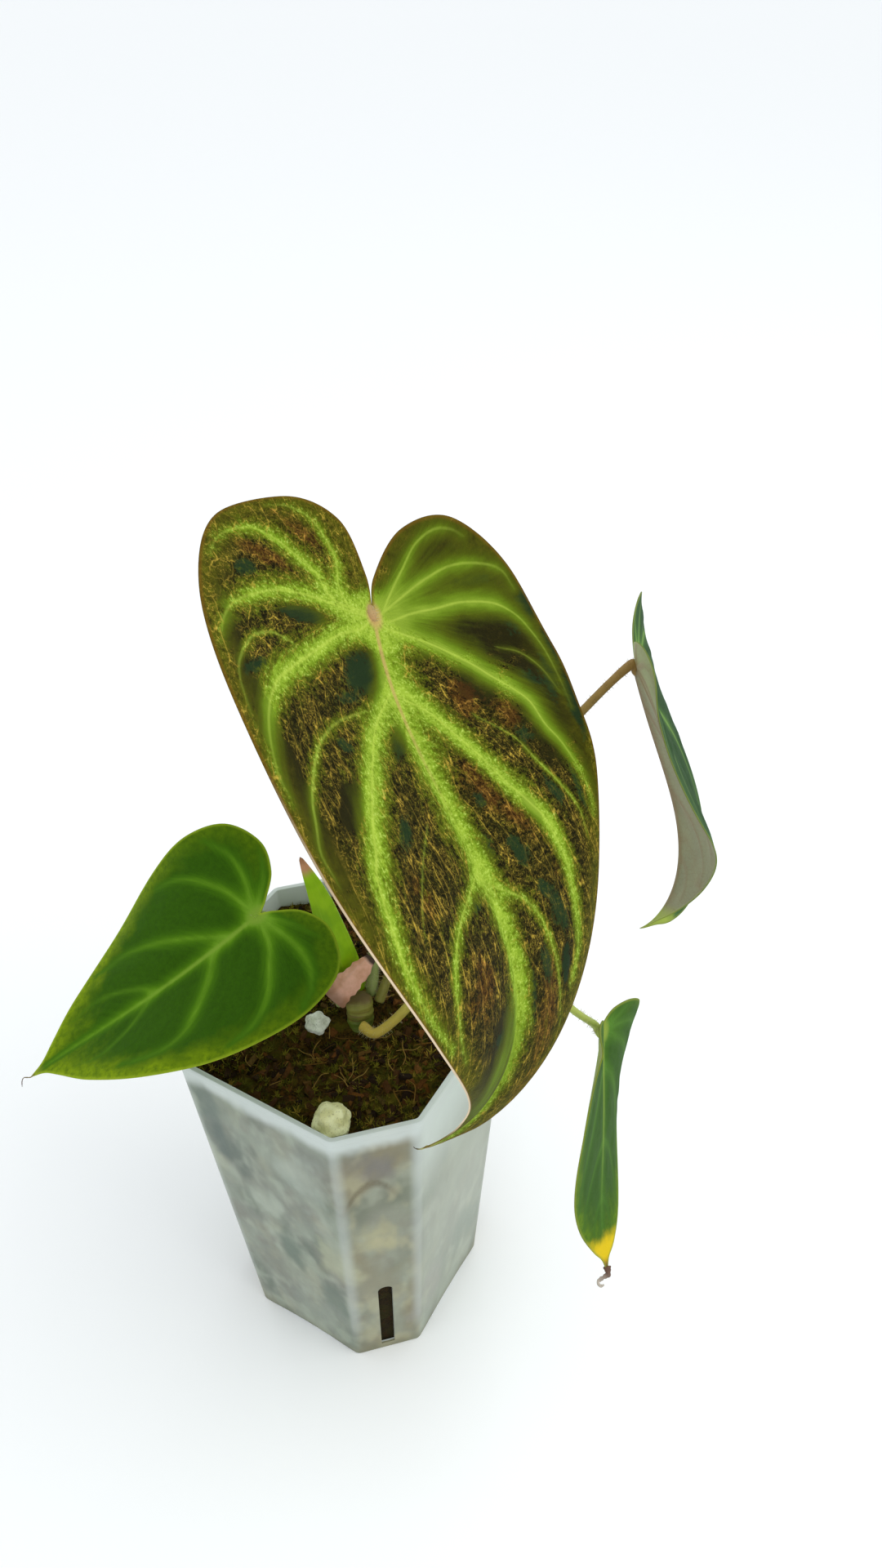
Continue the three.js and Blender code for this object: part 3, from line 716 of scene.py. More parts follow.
@dataclass(frozen=True)
class BladeFinish:
    """Colours and strengths of a velvety blade, as picture colours.

    Attributes:
        ground, warm, cool: between the veins, and the brown and the cooler green patches in it.
        net, net_warm, net_amount: the fine net of small veins, its colour in brown patches, and its strength.
        low, middle, high, speck: a vein's band from its soft outer part to its brightest, and its specks.
        core, core_amount, core_width: the fine line along a vein, and its half width in millimetres.
        outer, outer_reach, outer_amount: the zone inside the margin, in millimetres.
        tip, end: the last part and the dried point, each from a share of the length.
    """

    ground: str
    warm: str
    cool: str
    net: str
    net_amount: float
    low: str
    middle: str
    high: str
    speck: str
    core: str
    core_amount: float
    core_width: float
    texture: float
    outer: str
    outer_reach: float
    outer_amount: float
    rim: str
    edge: str
    joint: str
    tip: str
    tip_from: float
    end: str
    back: str
    back_vein: str
    margin: MarginStyle = MarginStyle.PLAIN
    net_warm: str = "b0702e"
    end_from: float = 0.982
    gloss: float = 0.04
    roughness: float = 0.66

    def upper(self, name: str) -> Material:
        """Builds the upper face's material.

        Args:
            name: the material's name.

        Returns:
            The material.
        """
        paint = Paint(name)
        flat = paint.map_place("flat", (MAP_UNIT, MAP_UNIT))
        weave = paint.map_place("weave", (MAP_UNIT, MAP_UNIT))
        margin, share = paint.measure("margin_away"), paint.measure("share")
        medium = paint.clouds(flat, 0.6, 4.0, 0.65).lively()
        fine = paint.clouds(flat, 1.6, 3.0, 0.7).lively()
        soft = paint.clouds(flat, 0.16, 3.0).lively()
        stripes = paint.clouds(paint.scaled(weave, (0.1, 0.75, 0.0)), 1.0, 4.0, 0.65).lively()
        calm = (paint.measure("calm") + soft.sway(0.4) + medium.sway(0.45)).rise(0.36, 0.6)
        grainy = (1.0 - calm) * self.texture
        glow = paint.measure("glow") + soft.sway(0.1) + fine.sway(0.04)
        glow = glow + (medium.sway(0.5) + fine.sway(0.3)) * grainy + (stripes - 0.5) * (0.16 + grainy * 0.2)
        ground, threads, net = self._ground(paint, flat, weave, (medium, fine, soft), grainy)
        colour = paint.layers(
            ground,
            (self._outer_amount(paint, medium, soft) * (0.2 + medium * 1.1), self.outer),
            (glow.rise(0.04, 0.45), self.low),
            (glow.rise(0.34, 0.85), self.middle),
            (threads * (1.0 - glow.rise(0.5, 0.95) * 0.8) * self.net_amount, net),
            (glow.rise(0.66, 1.15), self.high),
            (glow.rise(0.35, 0.8) * (fine + medium.sway(0.5)).rise(0.55, 0.95) * grainy * 0.55, self.speck),
        )
        tone = grainy * (0.14 + glow.rise(0.3, 0.8) * 0.08) + stripes.sway(0.14) + (1.0 - self.texture * 0.09)
        colour = paint.toned(colour, tone)
        holes = (fine * 0.5 + medium * 0.5).fall(0.12, 0.42) * grainy * glow.rise(0.2, 0.7)
        core = paint.measure("vein_side").size().fall(0.05, self.core_width)
        core = core * paint.measure("vein_away").fall(0.6, 1.5) * paint.measure("vein_line")
        colour = paint.layers(
            colour,
            (holes * 0.6, self.low),
            (core * (0.55 + medium * 0.5) * self.core_amount, self.core),
            (self._joint_amount(paint, flat), self.joint),
        )
        ragged_share = share + soft.sway(0.05) * (1.0 - share.rise(0.9, 1.0))
        colour = self._with_tip(paint, colour, ragged_share, share)
        colour = self._edged(paint, colour, flat, margin, share)
        paint.bump(fine * 0.5 + threads * 0.4 + medium * 0.3 * grainy, 0.0004, 0.45)
        rough = self.roughness + 0.1 * grainy + fine.sway(0.08)
        return paint.surface(colour, rough, Specular_IOR_Level=self.gloss)

    def _outer_amount(self, paint: Paint, medium: Value, soft: Value) -> Value:
        """Gives where the zone inside the margin shows: less in cool patches and at a plain blade's lobes."""
        margin, share = paint.measure("margin_away"), paint.measure("share")
        outer = (margin + medium.sway(3.0) + soft.sway(5.0)).fall(0.0, self.outer_reach)
        outer = outer.most((share + soft.sway(0.2)).rise(0.62, 1.0) * 0.8) * self.outer_amount
        outer = outer * (1.0 - paint.measure("cool").rise(0.35, 0.8))
        if self.margin is MarginStyle.PLAIN:
            outer = outer * (0.35 + share.rise(0.0, 0.55) * 0.65)
        return outer

    def _ground(
        self, paint: Paint, flat: Socket, weave: Socket, noises: Sequence[Value], grainy: Value
    ) -> tuple[Socket, Value, Socket]:
        """Builds what lies between the veins.

        Args:
            paint: the material.
            flat, weave: the place on the blade, and along and across the fields between its veins.
            noises: medium, fine and soft noise.
            grainy: how grainy the blade is there.

        Returns:
            The ground's colour, where the fine net shows, and the net's colour.
        """
        medium, fine, soft = noises
        wander = paint.shifted(weave, paint.drift(weave, 0.35), 2.8)
        near = paint.shifted(flat, paint.drift(flat, 1.0), 1.5)
        streaks = paint.cracks(paint.scaled(wander, (0.13, 0.45, 0.0)), 1.0).fall(0.0, 0.05)
        curls = paint.cracks(near, 0.7).fall(0.0, 0.085)
        tiny = paint.cracks(near, 1.5).fall(0.0, 0.12)
        shows = (paint.clouds(flat, 0.22, 3.0, 0.6).lively() + medium.sway(0.9)).rise(0.3, 1.0)
        threads = (curls * (0.2 + shows * 0.8)).most(tiny * shows * 0.7) * fine.rise(0.3, 0.65)
        threads = threads.most(streaks * (0.2 + shows) * fine.rise(0.0, 0.5)) * (0.04 + grainy * 0.96)
        warm = (paint.measure("warm") + medium.sway(0.7) + soft.sway(0.6)).rise(0.45, 0.95)
        cool = (paint.measure("cool") + medium.sway(0.75) + soft.sway(0.4)).rise(0.42, 0.72) * 0.9
        mottle = ((medium * 1.3 + fine * 0.7 - 1.0) * 1.6 * (0.15 + grainy * 0.85) + 0.95).most(0.2)
        ground = paint.toned(paint.mix(warm, self.ground, self.warm), mottle)
        ground = paint.layers(ground, (shows * grainy * 0.05, self.net), (cool, self.cool))
        return ground, threads * (1.0 - cool * 0.9), paint.mix(warm * 0.7, self.net, self.net_warm)

    def _joint_amount(self, paint: Paint, flat: Socket) -> Value:
        """Gives where the joint's colour shows: round the joint and up the start of the midrib."""
        x, y, _ = paint.parts(flat)
        near_joint = (x * x + y * y * 0.6).fall(0.0, 12.0)
        start = x.size().fall(0.2, 1.1) * y.fall(12.0, 58.0) * y.rise(-2.0, 0.0)
        return (near_joint * 0.75).most(start * 0.55)

    def _with_tip(self, paint: Paint, colour: Socket, ragged_share: Value, share: Value) -> Socket:
        """Colours the last part of the blade and its dried point."""
        tip = ragged_share.rise(self.tip_from, self.tip_from + 0.06) * 0.85
        end = share.rise(self.end_from, self.end_from * 0.4 + 0.6)
        return paint.layers(colour, (tip, self.tip), (end, self.end))

    def _edged(self, paint: Paint, colour: Socket, flat: Socket, margin: Value, share: Value) -> Socket:
        """Colours the edge: brownish, and pale along the lower left where the margin says so."""
        if self.margin is MarginStyle.PLAIN:
            return paint.mix(margin.fall(0.0, 1.0) * 0.7, colour, self.edge)
        x, y, _ = paint.parts(flat)
        pale = margin.fall(0.12, 0.4) * x.fall(-12.0, 4.0) * y.rise(35.0, 70.0) * share.fall(0.93, 0.97)
        return paint.layers(colour, (margin.fall(0.1, 1.1) * 0.6, self.edge), (pale, self.rim))

    def underside(self, name: str) -> Material:
        """Builds the underside's material.

        Args:
            name: the material's name.

        Returns:
            The material.
        """
        paint = Paint(name)
        flat = paint.map_place("flat", (MAP_UNIT, MAP_UNIT))
        share = paint.measure("share")
        net = paint.cracks(paint.shifted(flat, paint.drift(flat, 0.4), 1.4), 0.55).fall(0.0, 0.12)
        tone = paint.clouds(flat, 0.12, 3.0)
        patches = paint.clouds(flat, 0.08, 3.0).lively(2.4).rise(0.4, 0.95)
        colour = paint.toned(self.back, 0.76 + tone * 0.4)
        colour = paint.mix(patches * 0.4, colour, self.back_vein)
        if self.margin is MarginStyle.PLAIN:
            colour = paint.mix(share.fall(-0.04, 0.1) * 0.45, colour, self.rim)
        line = paint.measure("vein_away").fall(0.4, 1.4) * paint.measure("vein_line")
        colour = paint.layers(
            colour,
            (net * 0.3, self.back_vein),
            (paint.measure("glow").rise(0.2, 1.0) * 0.35, self.back_vein),
            (line * 0.75, self.back_vein),
            (paint.measure("margin_away").fall(0.1, 1.0) * 0.5, self.rim),
        )
        colour = self._with_tip(paint, colour, share, share)
        paint.bump(net * 0.4 + paint.clouds(flat, 3.0, 2.0) * 0.3, 0.0003, 0.5)
        return paint.surface(colour, 0.5 + tone * 0.15, Specular_IOR_Level=0.2)


@dataclass
class Blade:
    """A heart-shaped blade that bends, twists and folds along its midrib.

    Attributes:
        joint, length, heading: where the midrib starts, how long it is and how it sets out.
        bend, twist, swing: turning rates in degrees per length at the joint, the middle and the tip.
        fold, cup: the angle of the halves in degrees, and their curl in radians per length.
        lobe, shorten: the extra fold and the length of the left and right basal lobes.
        calm, cool, warm: smooth, cooler green and brown patches; a blade with none is calm all over.
        rows, columns, under_columns, edge_squares: squares along the outline, across a half and its edge.
        quilt, half_thickness: how far the fields between the veins puff up, and half the thickness.
        steps, back_share: steps from the joint to the tip, and how far they go on behind it.
    """

    name: str
    slot: str
    joint: Point
    length: float
    heading: Point
    bend: Point
    twist: Point
    swing: Point
    fold: Point
    cup: tuple[Point, Point]
    lobe: Point
    shorten: Point
    outline: Line
    veins: Sequence[Vein]
    finish: BladeFinish
    calm: Sequence[Spot] = ()
    cool: Sequence[Spot] = ()
    warm: Sequence[Spot] = ()
    rows: int = 24
    columns: int = 72
    under_columns: int = 26
    quilt: float = 0.75
    half_thickness: float = 0.3
    steps: int = 60
    back_share: float = -0.36
    edge_squares: int = 2
    frames: list[Pair] = field(default_factory=list)
    first: int = 0

    def walk(self) -> None:
        """Works out the midrib's place and axes at even steps, from behind the joint to the tip."""
        yaw, pitch, roll = (math.radians(v) for v in self.heading)
        ahead = np.array([math.cos(yaw) * math.cos(pitch), math.sin(yaw) * math.cos(pitch), math.sin(pitch)])
        up = np.array([-math.cos(yaw) * math.sin(pitch), -math.sin(yaw) * math.sin(pitch), math.cos(pitch)])
        side = np.cross(up, ahead)
        cosine, sine = math.cos(roll), math.sin(roll)
        side, up = side * cosine + up * sine, up * cosine - side * sine
        start = (np.array(self.joint, float), np.array([ahead, side, up]))
        back = self._steps_from(start, -1, round(-self.back_share * self.steps))
        forward = self._steps_from(start, 1, self.steps)
        self.frames = [*reversed(back), start, *forward]
        self.first = len(back)

    def _steps_from(self, start: Pair, sign: int, count: int) -> list[Pair]:
        """Turns the frame on step by step in one direction."""
        found = []
        place, axes = start
        for i in range(count):
            share = sign * (i + 0.5) / self.steps
            rates = [along(values, share) for values in (self.twist, self.bend, self.swing)]
            spin = (np.radians(rates) * sign / self.steps) @ axes
            angle = float(np.linalg.norm(spin)) or 1e-12
            half_way = turned(axes, spin / angle, angle / 2)
            place = place + half_way[0] * sign * self.length / self.steps
            axes = turned(axes, spin / angle, angle)
            found.append((place, axes))
        return found

    def surface(self, across: Array, ahead: Array) -> Array:
        """Places points of the flat blade on the bent one.

        Args:
            across: millimetres to the right of the midrib.
            ahead: millimetres from the joint towards the tip.

        Returns:
            Their places in millimetres.
        """
        share = np.clip(ahead / self.length, self.back_share, 1)
        exact = np.clip(share * self.steps + self.first, 0, len(self.frames) - 1.001)
        low = exact.astype(int)
        part = (exact - low)[:, None]

        def blend(rows: Sequence[Array]) -> Array:
            """Reads rows given at the frames between two of them."""
            table = np.array(rows)
            return table[low] * (1 - part) + table[low + 1] * part

        side = blend([axes[1] for _, axes in self.frames])
        up = blend([axes[2] for _, axes in self.frames])
        side /= np.linalg.norm(side, axis=1, keepdims=True)
        up /= np.linalg.norm(up, axis=1, keepdims=True)
        left = across < 0
        lobe = np.where(left, self.lobe[0], self.lobe[1]) * (np.minimum(share, 0) / 0.18) ** 2
        tilt = np.radians(along(self.fold, share) + lobe)
        curl = np.where(left, along(self.cup[0], share), along(self.cup[1], share)) / self.length
        curl = np.where(np.abs(curl) < 1e-6, 1e-6, curl)
        run = np.abs(across)
        out = (np.sin(tilt) - np.sin(tilt - curl * run)) / curl
        rise = (np.cos(tilt - curl * run) - np.cos(tilt)) / curl
        middle = blend([place for place, _ in self.frames])
        return middle + side * (np.sign(across) * out)[:, None] + up * rise[:, None]

    def facing(self, across: Array, ahead: Array, step: float = 0.4) -> Array:
        """Gives the surface's upward direction at points of the flat blade."""
        far = self.surface(across, ahead + step) - self.surface(across, ahead - step)
        wide = self.surface(across + step, ahead) - self.surface(across - step, ahead)
        normal = np.cross(far, -wide)
        return -normal / np.linalg.norm(normal, axis=1, keepdims=True)

    def flat_place(self, row: Array, share: Array, left: Array) -> Pair:
        """Finds flat places on one half.

        Args:
            row: counts the outline's points.
            share: runs from the midrib to the margin.
            left: whether it is the left half.

        Returns:
            Across, without sign, and ahead, in millimetres.
        """
        curve = smooth_line(self.outline, 40)
        counts = np.linspace(0, len(self.outline) - 1, len(curve))
        edge_x = np.interp(row, counts, curve[:, 0])
        edge_y = np.interp(row, counts, curve[:, 1])
        sinus = self.outline[0][1]
        cut = np.where(left, self.shorten[0], self.shorten[1])
        edge_y = np.where(edge_y < sinus, sinus + (edge_y - sinus) * cut, edge_y)
        start = np.interp(row, np.arange(len(VEIN_STARTS)), VEIN_STARTS)
        bow = 0.12 * smoothstep(row, 4, 7) * 4 * share * (1 - share)
        across = edge_x * share + (edge_y - start) * bow
        ahead = start + (edge_y - start) * share - edge_x * bow
        return across * self.length, ahead * self.length

    def _vein_fields(self, x: Array, y: Array) -> tuple[Array, ...]:
        """Measures how far flat points are from the veins.

        Returns:
            The joined strength of the veins' bands, the signed and plain distance to the nearest vein in
            millimetres, and that vein's own strength.
        """
        dark = np.ones(len(x))
        away = np.full(len(x), FAR)
        side = np.full(len(x), FAR)
        line_glow = np.zeros(len(x))
        shrink = min(0.88, self.length / 100)
        for vein in self.veins:
            line = smooth_line(np.array(vein.points) / 1000, 6) * self.length
            steps = np.linspace(0, 1, len(line))
            near = np.full(len(x), FAR)
            at = np.zeros(len(x))
            sign = np.ones(len(x))
            for start, end, step in zip(line[:-1], line[1:], steps):
                part, gap, turn = segment_gap(x, y, start, end)
                closer = gap < near
                near = np.where(closer, gap, near)
                at = np.where(closer, step + part * (steps[1] - steps[0]), at)
                sign = np.where(closer, turn, sign)
            reach = np.interp(at, (0, 0.5, 1), vein.reach) * shrink
            strength = np.interp(at, (0, 0.5, 1), vein.glow)
            dark *= 1 - strength * np.exp(-HALVING * (near / reach) ** vein.fall)
            closer = (near < away) & (vein.line > 0)
            away = np.where(closer, near, away)
            side = np.where(closer, sign * near, side)
            line_glow = np.where(closer, vein.line * strength * (1 - 0.8 * np.clip(at, 0, 1) ** 5), line_glow)
        return 1 - dark, side, away, line_glow

    def _patches(self, patches: Sequence[Spot], x: Array, y: Array, without: float) -> Array:
        """Gives the strength of patches at flat places, or one value where there are none."""
        if not patches:
            return np.full(len(x), without)
        return np.max([patch.over(x / self.length, y / self.length) for patch in patches], axis=0)

    def _margin_distance(self, x: Array, y: Array, count: int = 200) -> Array:
        """Measures how far flat points are from the margin, in millimetres."""
        found = np.full(len(x), FAR)
        row = np.linspace(0, len(self.outline) - 1, count)
        for left in (True, False):
            edge_x, edge_y = self.flat_place(row, np.ones(count), np.full(count, left))
            edge = np.column_stack([-edge_x if left else edge_x, edge_y])
            here = np.flatnonzero((x < 0) == left)
            here_x, here_y = x[here], y[here]
            near = np.full(len(here), FAR)
            for start, end in zip(edge[:-1], edge[1:]):
                near = np.minimum(near, segment_gap(here_x, here_y, start, end)[1])
            found[here] = near
        return found

    def _heights(self, x: Array, ahead: Array, away: Array, margin: Array) -> tuple[Array, ...]:
        """Gives how far the middle surface, the upper face and the underside are puffed up.

        Args:
            x, ahead: millimetres to the right of the midrib, and from the joint.
            away, margin: millimetres from the nearest vein and from the margin.
        """
        slender = np.sqrt(1 - np.clip(ahead / self.length, 0, 1))
        calm = smoothstep(margin, 0, 7) * slender
        puff = self.quilt * (1 - bell(away, 4.2)) * calm
        crumple = np.array([noise.noise(Vector((a * 0.22, b * 0.22, 3.0))) for a, b in zip(x, ahead)])
        puff = puff + 0.28 * crumple * calm * smoothstep(away, 0.5, 4)
        rib = 0.95 * slender * bell(x, 0.9) * (ahead > 0)
        rib = np.maximum(rib, 0.4 * slender * bell(away, 0.6) * smoothstep(margin, 0, 5))
        half = self.half_thickness * (1 - 0.4 * smoothstep(ahead / self.length, 0.85, 1))
        half = half * (0.55 + 0.45 * smoothstep(margin, 0, 4))
        return puff, puff + half, puff - half - rib

    def build(self) -> None:
        """Builds the blade as one closed skin with an upper face, a soft edge and a veined underside."""
        self.walk()
        half_ring = self.columns + self.edge_squares + self.under_columns
        spans = len(self.outline) - 1
        name = self.name.replace("blade", "leaf")
        mesh, around, up_rows = grid_mesh(name, 2 * half_ring, spans * self.rows)
        spot = around * 2 * half_ring
        left = spot > half_ring
        spot = np.where(left, 2 * half_ring - spot, spot)
        edge_middle = self.columns + self.edge_squares / 2
        top = smoothstep(spot, edge_middle - 0.6, edge_middle + 0.6) < 0.5
        wall = (spot > self.columns + 0.5) & (spot < self.columns + self.edge_squares - 0.5)
        share = np.where(spot <= self.columns, spot / self.columns, (half_ring - spot) / self.under_columns)
        row = up_rows * spans
        across, ahead = self.flat_place(row, np.clip(share, 0, 1), left)
        x = np.where(left, -across, across)
        glow, side, away, line_glow = self._vein_fields(x, ahead)
        margin = self._margin_distance(x, ahead)
        middle, over, under = self._heights(x, ahead, away, margin)
        level = np.where(wall, middle, np.where(top, over, under))
        set_points(mesh, self.surface(x, ahead) + self.facing(x, ahead) * level[:, None])
        stored = {
            "glow": glow,
            "vein_line": line_glow,
            "calm": self._patches(self.calm, x, ahead, 1.0),
            "cool": self._patches(self.cool, x, ahead, 0.3),
            "warm": self._patches(self.warm, x, ahead, 0.15),
            "vein_side": side,
            "vein_away": away,
            "margin_away": margin,
            "share": ahead / self.length,
            "under": np.where(top | wall, 0.0, 1.0),
        }
        for key, values in stored.items():
            store(mesh, key, values)
        store_map(mesh, "flat", x / MAP_UNIT, ahead / MAP_UNIT)
        store_map(mesh, "weave", across * 1.08 / MAP_UNIT, row * 9.0 / MAP_UNIT)
        close_mesh(mesh)
        self._split_faces(mesh)
        materials = (self.finish.upper(f"{self.name}_upper"), self.finish.underside(f"{self.name}_under"))
        place_piece(mesh, materials, self.slot, self.name)

    def _split_faces(self, mesh: Mesh) -> None:
        """Gives the underside's faces the second material."""
        under = np.empty(len(mesh.vertices), np.float32)
        mesh.attributes["under"].data.foreach_get("value", under)
        for face in mesh.polygons:
            face.material_index = 1 if sum(under[i] for i in face.vertices) > 2.5 else 0
        mesh.attributes.remove(mesh.attributes["under"])


FRONT_FINISH = BladeFinish(
    ground="232107", warm="40290b", cool="1e3119", net="b89c3c", net_amount=0.85, low="4a540a",
    middle="678418", high="90aa36", speck="b8cd66", core="b4c850", core_amount=0.5, core_width=0.5,
    texture=1.0, outer="5c5d0c", outer_reach=12.0, outer_amount=0.7, rim="e4cfb0", edge="6f5018",
    joint="c39468", tip="b8bc7a", tip_from=0.952, end="5a3a20", back="7f9464", back_vein="a8b884",
    margin=MarginStyle.PALE_PINK, net_warm="b07a38",
)
LEFT_FINISH = BladeFinish(
    ground="335a07", warm="3b6009", cool="2d5009", net="4a7012", net_amount=0.4, low="3f690a",
    middle="568411", high="78a42c", speck="8fb44a", core="86ac3c", core_amount=0.15, core_width=1.2,
    texture=0.25, outer="829c0c", outer_reach=9.5, outer_amount=0.95, rim="8fa23c", edge="9ab02a",
    joint="84a23a", tip="8a9430", tip_from=0.93, end="6a4526", back="6f8f48", back_vein="9ab06c",
    gloss=0.05,
)
UPPER_FINISH = BladeFinish(
    ground="2c4a26", warm="38562a", cool="365a40", net="55702c", net_amount=0.4, low="3c5c2c",
    middle="567f34", high="86ac50", speck="9aba60", core="9dba66", core_amount=0.4, core_width=1.0,
    texture=0.3, outer="5a8048", outer_reach=6.0, outer_amount=0.5, rim="98a860", edge="7f8a44",
    joint="9a8a48", tip="9fb04c", tip_from=0.86, end="b0ad62", back="8d8f6e", back_vein="856f50",
)
LOWER_FINISH = BladeFinish(
    ground="37591f", warm="436420", cool="2c4e2a", net="547a2c", net_amount=0.3, low="3d621f",
    middle="466c24", high="54802e", speck="7aa048", core="6f9640", core_amount=0.0, core_width=1.2,
    texture=0.2, outer="6a8a14", outer_reach=7.0, outer_amount=0.7, rim="979c44", edge="86903a",
    joint="8f9f42", tip="e0c01e", tip_from=0.83, end="6a4a30", end_from=0.93, back="7f9250",
    back_vein="9dac64",
)
BLADES = (
    Blade("blade_front", "blade_velvet", (13, 10.2, 284), 145, (-49.3, -39.8, -43.5), (-116, 89, 220),
         (-12, -1, 49), (4, 24, -312), (2, 13, 6), ((-.37, .76, 1.19), (-.87, .27, 1.79)), (0, 0), (1, 1),
         OUTLINE, FRONT_VEINS, FRONT_FINISH, FRONT_CALM, FRONT_COOL, FRONT_WARM),
    Blade("blade_left", "blade_green", (-16.7, -13.1, 187.7), 79.7, (-116.9, -23, -16.2), (23, -1, 20),
         (16, 34, -57), (-9, -15, 19), (8, 12, 4), ((0, 1.1, .3), (.4, .15, .45)), (0, 0), (1, 1),
         YOUNG_OUTLINE, LEFT_VEINS, LEFT_FINISH, rows=14, columns=44, under_columns=20, quilt=.6),
    Blade("blade_upper_right", "blade_pale", (53.5, 84.6, 238.8), 92.6, (-1.1, -70.7, -27.9),
         (-12, 45, 288), (-12, 7, 92), (-12, -40, -221), (12, 21.5, 32), ((.5, 1, -.05), (.6, .8, .2)),
         (8, 9.5), (.8, .8), OUTLINE, PLAIN_VEINS, UPPER_FINISH, rows=14, columns=44, under_columns=30,
         quilt=.6),
    Blade("blade_lower_right", "blade_mid", (77.7, 22.7, 155.7), 72.5, (-63.8, -53.7, -67.6),
         (-36.4, 5.9, -127.3), (-16.4, 11.7, 94.7), (3.9, -.9, -31.6), (16.9, -.8, 7.1), ((-.09, -.04, .54),
         (1.19, .44, .51)), (-44, -7), (.35, .55), OUTLINE, PLAIN_VEINS, LOWER_FINISH, rows=14, columns=44,
         under_columns=30, quilt=.5),
)


# Petioles, crown and sheaths


@dataclass(frozen=True)
class StemFinish:
    """Colours of a fleshy stem from its foot to its top, with the hairs' colour and where the top begins."""

    foot: str
    middle: str
    top: str
    hair: str
    top_from: float = 0.55

    def material(self, name: str) -> Material:
        """Builds the stem's material, streaked along its length."""
        paint = Paint(name)
        share = paint.measure("share")
        streaks = paint.clouds(paint.map_place("wrap", (3.0, 0.16)), 2.2, 3.0)
        specks = paint.clouds(paint.object_place(), 900.0, 2.0)
        colour = paint.layers(
            self.foot, (share.rise(0.0, 0.45), self.middle), (share.rise(self.top_from, 1.0), self.top)
        )
        colour = paint.toned(colour, 0.72 + streaks * 0.4 + specks * 0.16)
        paint.bump(streaks * 0.7 + specks * 0.3, 0.0003, 0.5)
        return paint.surface(colour, 0.42 + streaks * 0.2, Sheen_Weight=0.08, Specular_IOR_Level=0.3)

    def hair_material(self, name: str) -> Material:
        """Builds the hairs' material, lighter in places."""
        paint = Paint(name)
        tone = paint.clouds(paint.object_place(), 400.0, 1.0)
        return paint.surface(paint.toned(self.hair, 0.7 + tone * 0.6), 0.55)


@dataclass
class Petiole:
    """A slender leaf stalk from the crown to its blade, with a swollen joint and fine bristly hairs.

    Attributes:
        tilt: how far its end stays back, in radii.
        under_joint, joint_rise: how far under the joint the solid ends, and how far this goes on.
        last_step, dome: where its line ends, under and ahead of the joint, and how long its round end is.
    """

    name: str
    slot: str
    line: Line
    radii: Point
    blade: Blade
    tilt: float
    finish: StemFinish
    hairs: int
    under_joint: float = 0.45 + 1.1 + 0.3
    joint_rise: float = 0.55
    last_step: Point = (0.9, 2.2)
    dome: float = 3.0

    def full_line(self) -> list[Point]:
        """Adds the end under the blade's joint, and the last step into it, to the line."""
        ahead, _, up = self.blade.frames[self.blade.first][1]
        joint = np.array(self.blade.joint)
        under = self.under_joint + self.tilt * self.radii[1] - self.joint_rise
        end = joint - up * under - ahead * self.radii[1]
        return [*self.line, tuple(end), tuple(joint - up * self.last_step[0] + ahead * self.last_step[1])]

    def radius(self, share: Array) -> Array:
        """Gives the radius: it swells a little at the foot and under the blade."""
        foot, top = self.radii
        plain = foot + (top - foot) * share
        return plain * (0.94 + 0.1 * smoothstep(1 - share, 0.93, 1.0) + 0.2 * smoothstep(share, 0.9, 0.985))

    def build(self, rng: random.Random) -> None:
        """Builds the stalk and its hairs as one piece.

        Args:
            rng: the source of the hairs' places.
        """
        line = self.full_line()
        taper = self.dome / float(np.linalg.norm(np.diff(np.array(line), axis=0), axis=1).sum())

        def section(share: Array, angle: Array) -> Pair:
            """Gives a slightly grooved round section with a domed end."""
            radius = self.radius(share) * (1 - 0.1 * bell(angle - math.pi, 0.5))
            return round_section(radius * np.maximum(domed((share - 1 + taper) / taper), 0.3), angle)

        mesh = tube_mesh(self.name.replace("petiole", "stalk"), line, section, 20, 220)
        self._add_hairs(mesh, line, rng)
        materials = (self.finish.material(self.name), self.finish.hair_material(f"{self.name}_hair"))
        place_piece(mesh, materials, self.slot, self.name)

    def _add_hairs(self, mesh: Mesh, line: Line, rng: random.Random) -> None:
        """Sets fine tapered hairs on the stalk."""
        centres, firsts, seconds = carried_line(line)
        spike = bmesh.new()
        bmesh.ops.create_cone(spike, cap_ends=True, segments=3, radius1=0.5, radius2=0.06, depth=1.0)
        bmesh.ops.translate(spike, verts=spike.verts, vec=(0, 0, 0.5))
        template = to_mesh(spike, "hair")
        body = bmesh.new()
        body.from_mesh(mesh)
        body_faces = len(body.faces)
        for _ in range(self.hairs):
            share = rng.uniform(0.02, 0.97)
            k = min(int(share * (len(centres) - 1)), len(centres) - 2)
            angle = rng.uniform(0, 2 * math.pi)
            out = firsts[k] * math.cos(angle) + seconds[k] * math.sin(angle)
            radius = float(self.radius(np.array([share]))[0])
            spot = Vector((centres[k] + out * radius * 0.9) * MM)
            lean = Vector(out) + Vector((centres[k + 1] - centres[k])) * rng.uniform(-0.1, 0.25)
            length, width = rng.uniform(0.6, 1.5) * MM, rng.uniform(0.1, 0.17) * MM
            add_copy(body, template, looking_along(spot, lean, angle, (width, width, length)))
        body.faces.ensure_lookup_table()
        for face in body.faces[body_faces:]:
            face.material_index = 1
        body.to_mesh(mesh)
        body.free()
        bpy.data.meshes.remove(template)


FRONT_STEM = StemFinish(foot="93a060", middle="7c8f48", top="b58a5e", hair="b9b088", top_from=0.93)
GREEN_STEM = StemFinish(foot="93a060", middle="7c8f48", top="8a9a50", hair="b9b088")
BROWN_STEM = StemFinish(foot="84803a", middle="7f7030", top="8c6f36", hair="a88c5a")
TAN_STEM = StemFinish(foot="bfa646", middle="aeb04c", top="a3b358", hair="b9b088")
